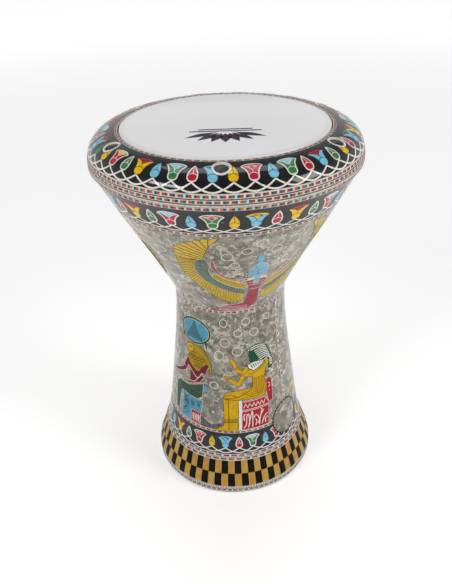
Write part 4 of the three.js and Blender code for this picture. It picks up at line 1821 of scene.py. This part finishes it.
@dataclass
class Medallion:
    """A pearl disc with a black rim, over the foot of the seam.

    Attributes:
        turned: Azimuth of its centre, in degrees.
        height: Height of its centre, in millimetres.
        radius: Radius of the disc.
        rim: Width of its rim.
        ticks: White ticks across its rim.
        tick: Width of a tick.
        margin: How far a tick stays inside the rim's edges.
        level: How far the disc lies above the field.
        corners: Corners of the disc.
    """

    turned: float = 52.0
    height: float = 81.0
    radius: float = 23.4 * MM
    rim: float = 1.9 * MM
    ticks: int = 30
    tick: float = 0.5 * MM
    margin: float = 0.3 * MM
    level: float = 0.16 * MM
    corners: int = 72

    def build(self, shop: Shop) -> None:
        """Makes the medallion."""
        length = shop.outline.length_at(self.height * MM)
        reference = float(shop.outline.radius_at(length))
        inlay = Inlay(shop, "medallion", reference, SHELL_BODY, "shell_mosaic")
        x, y = inlay.at(self.turned, self.height)
        inner = self.radius - self.rim
        inlay.cut(PearlShell("medallion_pearl", 150.0), oval(x, y, inner, inner, self.corners), self.level)
        inlay.lay()
        rim = Inlay(shop, "medallion_rim", reference, SHELL_BODY, "black_inlay")
        middle = (inner + self.radius) / 2
        loop = oval(x, y, middle, middle, self.corners)
        rim.add(Tint.BLACK_TILE, ribbon("rim", loop, self.rim, closed=True), self.level + 0.03 * MM)
        near, far = (oval(x, y, r, r, self.ticks) for r in (inner + self.margin, self.radius - self.margin))
        for tick in zip(near, far):
            rim.add(Tint.WHITE, ribbon("tick", tick, self.tick), self.level + 0.05 * MM)
        rim.lay()
        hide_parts("medallion")
        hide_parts("medallion_border")


@dataclass
class SeamStrip:
    """A narrow column of cells down the stem.

    Attributes:
        turned: Its azimuth, in degrees.
        low: Height of its foot, in millimetres.
        high: Height of its head.
        width: Its width.
        pitch: Length of a pair of cells with its gap.
    """

    turned: float = 53.0
    low: float = 103.0
    high: float = 239.6
    width: float = 3.2 * MM
    pitch: float = 7.0 * MM

    def build(self, shop: Shop) -> None:
        """Makes the strip."""
        inlay = Inlay(shop, "seam", 65 * MM, SHELL_BODY, "mosaic_strip")
        (x, bottom), (_, top) = inlay.at(self.turned, self.low), inlay.at(self.turned, self.high)
        half = self.width / 2
        inlay.cut(Tint.CREAM, [(x - half, bottom), (x + half, bottom), (x + half, top), (x - half, top)])
        side = self.width * 0.27
        for unit in range(int((top - bottom) / self.pitch)):
            tints = (Tint.CELL_BLUE, Tint.CELL_RED) if unit % 3 else (Tint.CELL_RED, Tint.CELL_TEAL)
            for place, tint in enumerate(tints):
                foot = bottom + self.pitch * (unit + 0.2 + 0.3 * place)
                head = foot + self.pitch * 0.3
                cell = [(x - side, foot), (x + side, foot), (x + side, head), (x - side, head)]
                inlay.add(tint, plate("cell", cell), 0.03 * MM)
        inlay.lay()
        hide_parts("stem_seam_strip")


# ---------------------------------------------------------------- castings, head and screws


@dataclass
class ScrewPlaces:
    """Where the six screws stand, from the frame.

    Attributes:
        centres: The middle of each screw.
        seat: Height of the floor of the wells.
        shank: Height of the screws' tips.
    """

    centres: list[Flat]
    seat: float
    shank: float

    @classmethod
    def from_frame(cls) -> "ScrewPlaces":
        """Reads the places of the screws from the frame."""
        boxes = [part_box(f"tension_screw_{i}") for i in range(1, SCREW_COUNT + 1)]
        centres = [((low.x + high.x) / 2, (low.y + high.y) / 2) for low, high in boxes]
        return cls(centres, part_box("screw_washer_1")[0].z, boxes[0][0].z)

    def posts(self, name: str, radius: float, low: float, high: float) -> Piece:
        """Six upright cylinders, one on each screw's axis.

        Args:
            name: Their name.
            radius: Their radius.
            low: Height of their feet.
            high: Height of their heads.

        Returns:
            The cylinders, joined.
        """
        post = turn("post", [(0, low), (radius, low), (radius, high), (0, high)], SMALL_STEPS)
        posts = joined(name, [copied(post, x, y) for x, y in self.centres])
        scrap(post)
        return posts


@dataclass
class Shell:
    """The cast shell with its six bosses.

    Attributes:
        boss: Radius of a boss.
        boss_low: Height of its foot.
        boss_high: Height of its head, inside the flange.
        thread: Radius of its hole.
        above: A height over the flange.
    """

    boss: float = 10.4 * MM
    boss_low: float = 381 * MM
    boss_high: float = 398 * MM
    thread: float = 3.25 * MM
    above: float = 420 * MM

    def build(self, shop: Shop, screws: ScrewPlaces) -> None:
        """Makes the shell.

        Args:
            shop: Where it is made.
            screws: Where its bosses stand.
        """
        shell = turn("shell_casting", cross_section("shell"))
        bosses = screws.posts("bosses", self.boss, self.boss_low, self.boss_high)
        holes = screws.posts("holes", self.thread, screws.shank - 2 * MM, self.above)
        cut_away(shell, bosses, "UNION")
        cut_away(shell, holes)
        scrap(bosses, holes)
        shop.deliver(smooth(shell), CAST, SHELL_BODY, "cast_aluminium", "shell")


@dataclass
class ClampRing:
    """The cast clamp ring with its screw wells, and the white collars round them.

    Attributes:
        well: Radius of a well.
        hole: Radius of the hole in its floor.
        collar: Inner and outer radius of a collar.
        proud: How far a collar stands out of the skin.
        under: A height below the ring.
    """

    well: float = 6.3 * MM
    hole: float = 3.5 * MM
    collar: Flat = (6.9 * MM, 8.6 * MM)
    proud: float = 0.25 * MM
    under: float = 390 * MM

    def build(self, shop: Shop, screws: ScrewPlaces) -> Piece:
        """Makes the ring and the collars.

        Args:
            shop: Where it is made.
            screws: Where its wells stand.

        Returns:
            The tool that clears the wells in the skin. The caller throws it away.
        """
        ring = turn("ring_casting", cross_section("clamp_ring"))
        for name, radius, low in (("wells", self.well, screws.seat), ("holes", self.hole, self.under)):
            tool = screws.posts(name, radius, low, ABOVE)
            cut_away(ring, tool)
            scrap(tool)
        shop.deliver(smooth(ring), CAST, RING_BODY, "cast_aluminium", "clamp_ring")
        start, end = shop.outline.spans["ring_lotus_band"]
        skin = turn("skin", shop.outline.band(start, end, top=self.proud, bottom=-SKIN_DEPTH))
        inner, outer = self.collar
        tube = turn("tube", [(inner, BELOW), (outer, BELOW), (outer, ABOVE), (inner, ABOVE)], COLLAR_STEPS)
        collars = joined("screw_collars", [copied(tube, x, y) for x, y in screws.centres])
        cut_away(collars, skin, "INTERSECT")
        scrap(tube, skin)
        nodes = [f"screw_collar_{i}" for i in range(1, SCREW_COUNT + 1)]
        shop.deliver(smooth(collars), Tint.WHITE, RING_BODY, "white_inlay", *nodes)
        return screws.posts("well_tool", outer, BELOW, ABOVE)


@dataclass
class Head:
    """The film, its hoop and the resin between them, with a small flower printed on the film.

    Attributes:
        radius: Radius of the playing surface.
        print_at: Place of the print's foot along Y.
        print_size: Size of the print.
        ink: Thickness of the print.
    """

    radius: float = 104 * MM
    print_at: float = -29 * MM
    print_size: float = 1.2
    ink: float = 0.03 * MM

    PETALS = (
        (0.0, 25.0, 4.3), (23.0, 25.5, 4.1), (-23.0, 25.5, 4.1), (44.0, 28.5, 3.9), (-44.0, 28.5, 3.9),
        (64.0, 33.0, 3.6), (-64.0, 33.0, 3.6),
    )

    def build(self, shop: Shop) -> None:
        """Makes the head."""
        for name, node, finish, slot in (
            ("film", "head_film", DrumFilm("drum_film", self.radius), "drum_film"),
            ("hoop", "head_hoop", STEEL, "bright_steel"),
            ("resin_bead", "hoop_resin", Resin(), "potting_resin"),
        ):
            shop.deliver(turn(name, cross_section(node)), finish, SHELL_BODY, slot, node)
        self._print(shop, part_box("head_film")[1].z)

    def _print(self, shop: Shop, top: float) -> None:
        """Prints an open lotus on the film.

        Args:
            shop: Where it is made.
            top: Height of the film's face.
        """
        sheets = []
        size = self.print_size * MM
        for lean, length, half in self.PETALS:
            bulge = [(0, 7.0), (-half * 0.5, length * 0.42), (-half, length * 0.68), (0, length + 3)]
            side = curve_through(bulge, 5)
            petal = plate("petal", scaled(both_sides(side), size))
            turned = Matrix.Rotation(math.radians(lean), 3, "Z")
            set_corners(petal, corners(petal) @ np.array(turned).T)
            sheets.append(petal)
        for level, reach in ((0.5, 29.0), (-4.0, 22.0)):
            edge = ((-reach, level - 1.2), (reach, level - 1.2), (reach, level + 1.2), (-reach, level + 1.2))
            sheets.append(plate("bar", scaled(edge, size)))
        mark = joined("film_print", sheets)
        flat = corners(mark)
        across, along = -flat[:, 0], self.print_at - flat[:, 1]
        set_corners(mark, np.column_stack([across, along, flat[:, 2] + top + self.ink]))
        apply(mark, "SOLIDIFY", thickness=3 * self.ink, offset=-1.0)
        shop.deliver(mark, Tint.PLUM, SHELL_BODY, "drum_film")


@dataclass
class CapScrews:
    """Six socket cap screws and their washers.

    Attributes:
        head: Radius and height of a head.
        shank: Radius of the shank.
        root: Radius at the root of the thread.
        pitch: The thread's pitch.
        flats: Width of the socket across its flats.
        socket: The socket's depth.
        washer: Inner radius, outer radius and thickness of a washer.
    """

    head: Flat = (5.0 * MM, 6.0 * MM)
    shank: float = 3.0 * MM
    root: float = 2.55 * MM
    pitch: float = 1.0 * MM
    flats: float = 5.0 * MM
    socket: float = 3.2 * MM
    washer: tuple[float, float, float] = (3.3 * MM, 6.0 * MM, 1.4 * MM)

    def build(self, shop: Shop, screws: ScrewPlaces) -> None:
        """Makes the screws and the washers.

        Args:
            shop: Where they are made.
            screws: Where they stand.
        """
        pattern = self._screw(screws)
        inner, outer, thick = self.washer
        low, edge = screws.seat, 0.2 * MM
        profile = [(inner, low), (outer - edge, low), (outer, low + edge), (outer, low + thick - edge),
                   (outer - edge, low + thick), (inner, low + thick)]
        ring = turn("washer", profile, COLLAR_STEPS)
        for number, (x, y) in enumerate(screws.centres, 1):
            screw = copied(pattern, x, y)
            screw.name = f"cap_screw_{number}"
            shop.deliver(screw, STEEL, f"screw_{number}", "bright_steel", f"tension_screw_{number}")
            washer = copied(ring, x, y)
            washer.name = f"washer_{number}"
            shop.deliver(washer, STEEL, RING_BODY, "bright_steel", f"screw_washer_{number}")
        scrap(pattern, ring)

    def _screw(self, screws: ScrewPlaces) -> Piece:
        """Makes one screw on the drum's axis.

        Args:
            screws: Gives its heights.

        Returns:
            The screw.
        """
        radius, height = self.head
        seat = screws.seat + self.washer[2]
        top, edge = seat + height, 0.5 * MM
        profile = [(0, top), (radius - edge, top), (radius - 0.15 * MM, top - 0.2 * MM), (radius, top - edge),
                   (radius, seat + 0.2 * MM), (radius - 0.2 * MM, seat), (self.shank, seat),
                   (self.shank, seat - 6 * MM)]
        turns = int((seat - 7 * MM - screws.shank) / self.pitch)
        for number in range(turns):
            crest = seat - 6 * MM - self.pitch * (number + 0.5)
            profile += [(self.root, crest), (self.shank, crest - self.pitch / 2)]
        profile += [(self.root, screws.shank), (0, screws.shank)]
        screw = turn("screw", profile, SMALL_STEPS)
        prism = {"vertices": 6, "radius": self.flats / math.sqrt(3), "depth": 2 * self.socket}
        key = fresh("key", bpy.ops.mesh.primitive_cylinder_add, location=(0, 0, top), **prism)
        cut_away(screw, key)
        scrap(key)
        return smooth(screw)


# ---------------------------------------------------------------- the whole drum


STRIPS = (
    MosaicStrip(
        "foot_rim_band", SHELL_BODY, (Row(4.9, 7.2, 94, 1.0),), ((0.4, 1.4), (7.95, 8.35)), (9.5, 10.9),
        seed=9,
    ),
    MosaicStrip(
        "foot_double_strip", SHELL_BODY, (Row(45.9, 47.9, 58), Row(50.2, 52.1, 58, 2.0)), ((48.85, 49.25),),
        seed=8,
    ),
    MosaicStrip("stem_base_strip", SHELL_BODY, (Row(81.9, 84.0, 70),), seed=7),
    MosaicStrip("neck_strip", SHELL_BODY, (Row(241.1, 243.3, 60),), seed=6),
    MosaicStrip("bowl_strip", SHELL_BODY, (Row(363.1, 365.1, 105),), seed=5),
    MosaicStrip("shoulder_strip", SHELL_BODY, (Row(396.1, 398.7, 120),), ((399.35, 399.65),), seed=4),
    MosaicStrip("ring_lower_strip", RING_BODY, (Row(402.9, 405.2, 120, 1.0),), ((405.95, 406.45),), seed=3),
    MosaicStrip("ring_upper_strip", RING_BODY, (Row(407.7, 410.1, 120),), ((406.55, 406.9),), seed=2),
    MosaicStrip("ring_inner_strip", RING_BODY, (Row(110.0, 108.0, 94),), seed=1, flat=True),
)

LOTUS_BANDS = (
    LotusBand(
        "foot_lotus", "foot_lotus_band", SHELL_BODY, 31, 3.6, 61.4, (54.6, 61.0),
        ("yr", "g-o", "rro", "y-", "bb", "r-o", "gbo", "b-"), -5,
        ("rro", "g-o", "rbo", "y-", "bb", "r-o", "gbo", "b-"),
        size=0.86, string=1.3 * MM,
    ),
    LotusBand(
        "bowl_lotus", "bowl_lotus_band", SHELL_BODY, 42, 2.5, 374.0, (368.0, 373.7),
        ("gro", "y-", "by", "r-o", "yr", "g-o", "rbo", "b-"), -1,
        ("gro", "y-", "by", "r-o", "yr", "g-o", "rbo", "b-"),
        size=1.0, string=1.3 * MM,
    ),
    LotusBand(
        "ring_lotus", "ring_lotus_band", RING_BODY, 47, 2.5, 420.0, (412.2, 419.4),
        ("g-", "y-", "ryo", "g-o", "yr", "b-", "gbo", "r-o", "bb", "y-", "rro", "b-", "gbo", "r-o", "br",
         "g-o", "y-", "r-o", "bg"), -9, ("y-", "ryo", "g-o", "yr", "b-", "gbo", "r-o", "br"),
    ),
)

PEARL_FIELDS = (
    PearlField(
        "stem_skin", "stem_rings", 74 * MM,
        ((-7, 203), (14.5, 228.5), (22.5, 213.5), (5, 191.5), (-13, 186), (44.5, 182), (45, 157), (38, 228),
         (-8, 228), (6, 215), (44, 137), (-18, 146)),
        22, (96, 232), (-78, 72),
    ),
    PearlField(
        "bowl_skin", "bowl_rings", 110 * MM,
        ((9, 340), (25, 337), (37, 335), (34, 318), (36, 352), (-39, 333), (-1, 333), (16, 349), (3, 320)),
        30, (312, 354), (-48, 62),
    ),
)


@dataclass
class Studio:
    """The plain floor, the soft light and the camera.

    Attributes:
        reach: Half the floor's side.
        place: The camera's place.
        pitch: How far it looks down, in degrees.
        yaw: How far it looks to the right.
        roll: How far it leans to the left.
        lens: Its focal length in millimetres.
        room: Brightness of the walls.
        ceiling: Brightness of the ceiling, as a share of the walls'.
        front: Brightness of the wall behind the camera, as a share of the back wall's.
        glow: Painted light, the floor's glow at shares of its reach, near the drum and far off, brighter far
            off where the lamps fall short.
        softboxes: Place, aim, width, height and power of each light.
    """

    reach: float = 15.0
    place: tuple[float, float, float] = (0.0, -0.633, 0.623)
    pitch: float = 31.88
    yaw: float = -0.45
    roll: float = -2.02
    lens: float = 39.4
    room: float = 0.95
    ceiling: float = 0.3
    front: float = 0.12
    glow: tuple[Flat, ...] = ((0.04, 0.28), (0.2, 0.68))
    softboxes: tuple[tuple[Vector, Vector, float, float, float], ...] = (
        (Vector((-0.86, -0.74, 1.05)), Vector((-0.05, -0.13, 0.41)), 0.6, 0.2, 6.5),
        (Vector((1.07, -0.49, 0.97)), Vector((0.07, -0.12, 0.41)), 0.5, 0.42, 6.0),
        (Vector((1.3, -0.3, 0.3)), Vector((0.0, 0.0, 0.15)), 0.5, 0.6, 2.0),
        (Vector((0.0, 0.65, 2.1)), Vector((0.0, 0.0, 0.4)), 1.4, 0.7, 9.0),
        (Vector((0.0, -2.2, 0.75)), Vector((0.0, 0.0, 0.2)), 2.4, 0.5, 11.0),
    )

    def build(self) -> None:
        """Sets up the studio."""
        floor = fresh("floor", bpy.ops.mesh.primitive_plane_add, size=2 * self.reach)
        g = Graph("pale_floor")
        g.set(Base_Color=g.ramp(g.noise(3.0), (0.3, 0.9), (0.7, 0.92)), Roughness=0.7)
        # Painted light: the floor glows, more strongly far from the drum.
        away = g.feed(g.node("ShaderNodeVectorMath", operation="LENGTH"), Vector=g.place)
        glow = g.ramp(g.maths("DIVIDE", away.outputs["Value"], self.reach), *self.glow)
        g.set(Emission_Color=(1.0, 1.0, 1.0, 1.0), Emission_Strength=glow)
        floor.data.materials.append(g.owner)
        self._room()
        for number, (place, aim, width, height, power) in enumerate(self.softboxes, 1):
            light = bpy.data.lights.new(f"softbox_{number}", "AREA")
            light.shape, light.size, light.size_y, light.energy = "RECTANGLE", width, height, power
            lamp = bpy.data.objects.new(f"softbox_{number}", light)
            lamp.location = place
            lamp.rotation_euler = (aim - place).to_track_quat("-Z", "Y").to_euler()
            bpy.context.collection.objects.link(lamp)
        self._camera()
        bpy.context.scene.view_settings.view_transform = "Standard"

    def _room(self) -> None:
        """Makes the pale room, darker above and behind the camera."""
        g = Graph("room", room=True)
        parts = g.feed(g.node("ShaderNodeSeparateXYZ"), Vector=g.place)
        upward = g.ramp(parts.outputs["Z"], (0.12, 1.0), (0.62, self.ceiling))
        forward = g.ramp(g.maths("MULTIPLY_ADD", parts.outputs["Y"], 0.5, 0.5), (0.0, self.front), (0.5, 1.0))
        g.set(Color=g.mix(1.0, upward, forward, "MULTIPLY"), Strength=self.room)
        bpy.context.scene.world = g.owner

    def _camera(self) -> None:
        """Sets up the camera."""
        pitch, yaw, roll = (math.radians(a) for a in (self.pitch, self.yaw, self.roll))
        ahead = Vector((math.sin(yaw) * math.cos(pitch), math.cos(yaw) * math.cos(pitch), -math.sin(pitch)))
        side = ahead.cross(Vector((0, 0, 1))).normalized()
        up = side.cross(ahead)
        right = side * math.cos(roll) + up * math.sin(roll)
        above = up * math.cos(roll) - side * math.sin(roll)
        camera = bpy.data.objects.new("camera", bpy.data.cameras.new("camera"))
        camera.data.lens, camera.data.sensor_width = self.lens, 36.0
        turned = Matrix((right, above, -ahead)).transposed().to_4x4()
        camera.matrix_world = Matrix.Translation(self.place) @ turned
        bpy.context.collection.objects.link(camera)
        bpy.context.scene.camera = camera


def main() -> None:
    """Builds the drum and its studio."""
    logging.basicConfig(level=logging.INFO, format="%(message)s")
    shop = Shop(Outline.from_frame(SKIN_NODES))
    screws = ScrewPlaces.from_frame()
    Shell().build(shop, screws)
    well_tool = ClampRing().build(shop, screws)
    for strip in STRIPS:
        strip.build(shop)
    for band in LOTUS_BANDS:
        band.build(shop, well_tool if band.body == RING_BODY else None)
    scrap(well_tool)
    CheckBand().build(shop)
    for pearl in PEARL_FIELDS:
        pearl.build(shop)
    WingedFigure().picture().build(shop)
    StemScene().build(shop)
    SeamStrip().build(shop)
    Medallion().build(shop)
    Head().build(shop)
    CapScrews().build(shop, screws)
    Studio().build()
    LOG.info("%d pieces", shop.pieces)


if __name__ == "__main__":
    main()
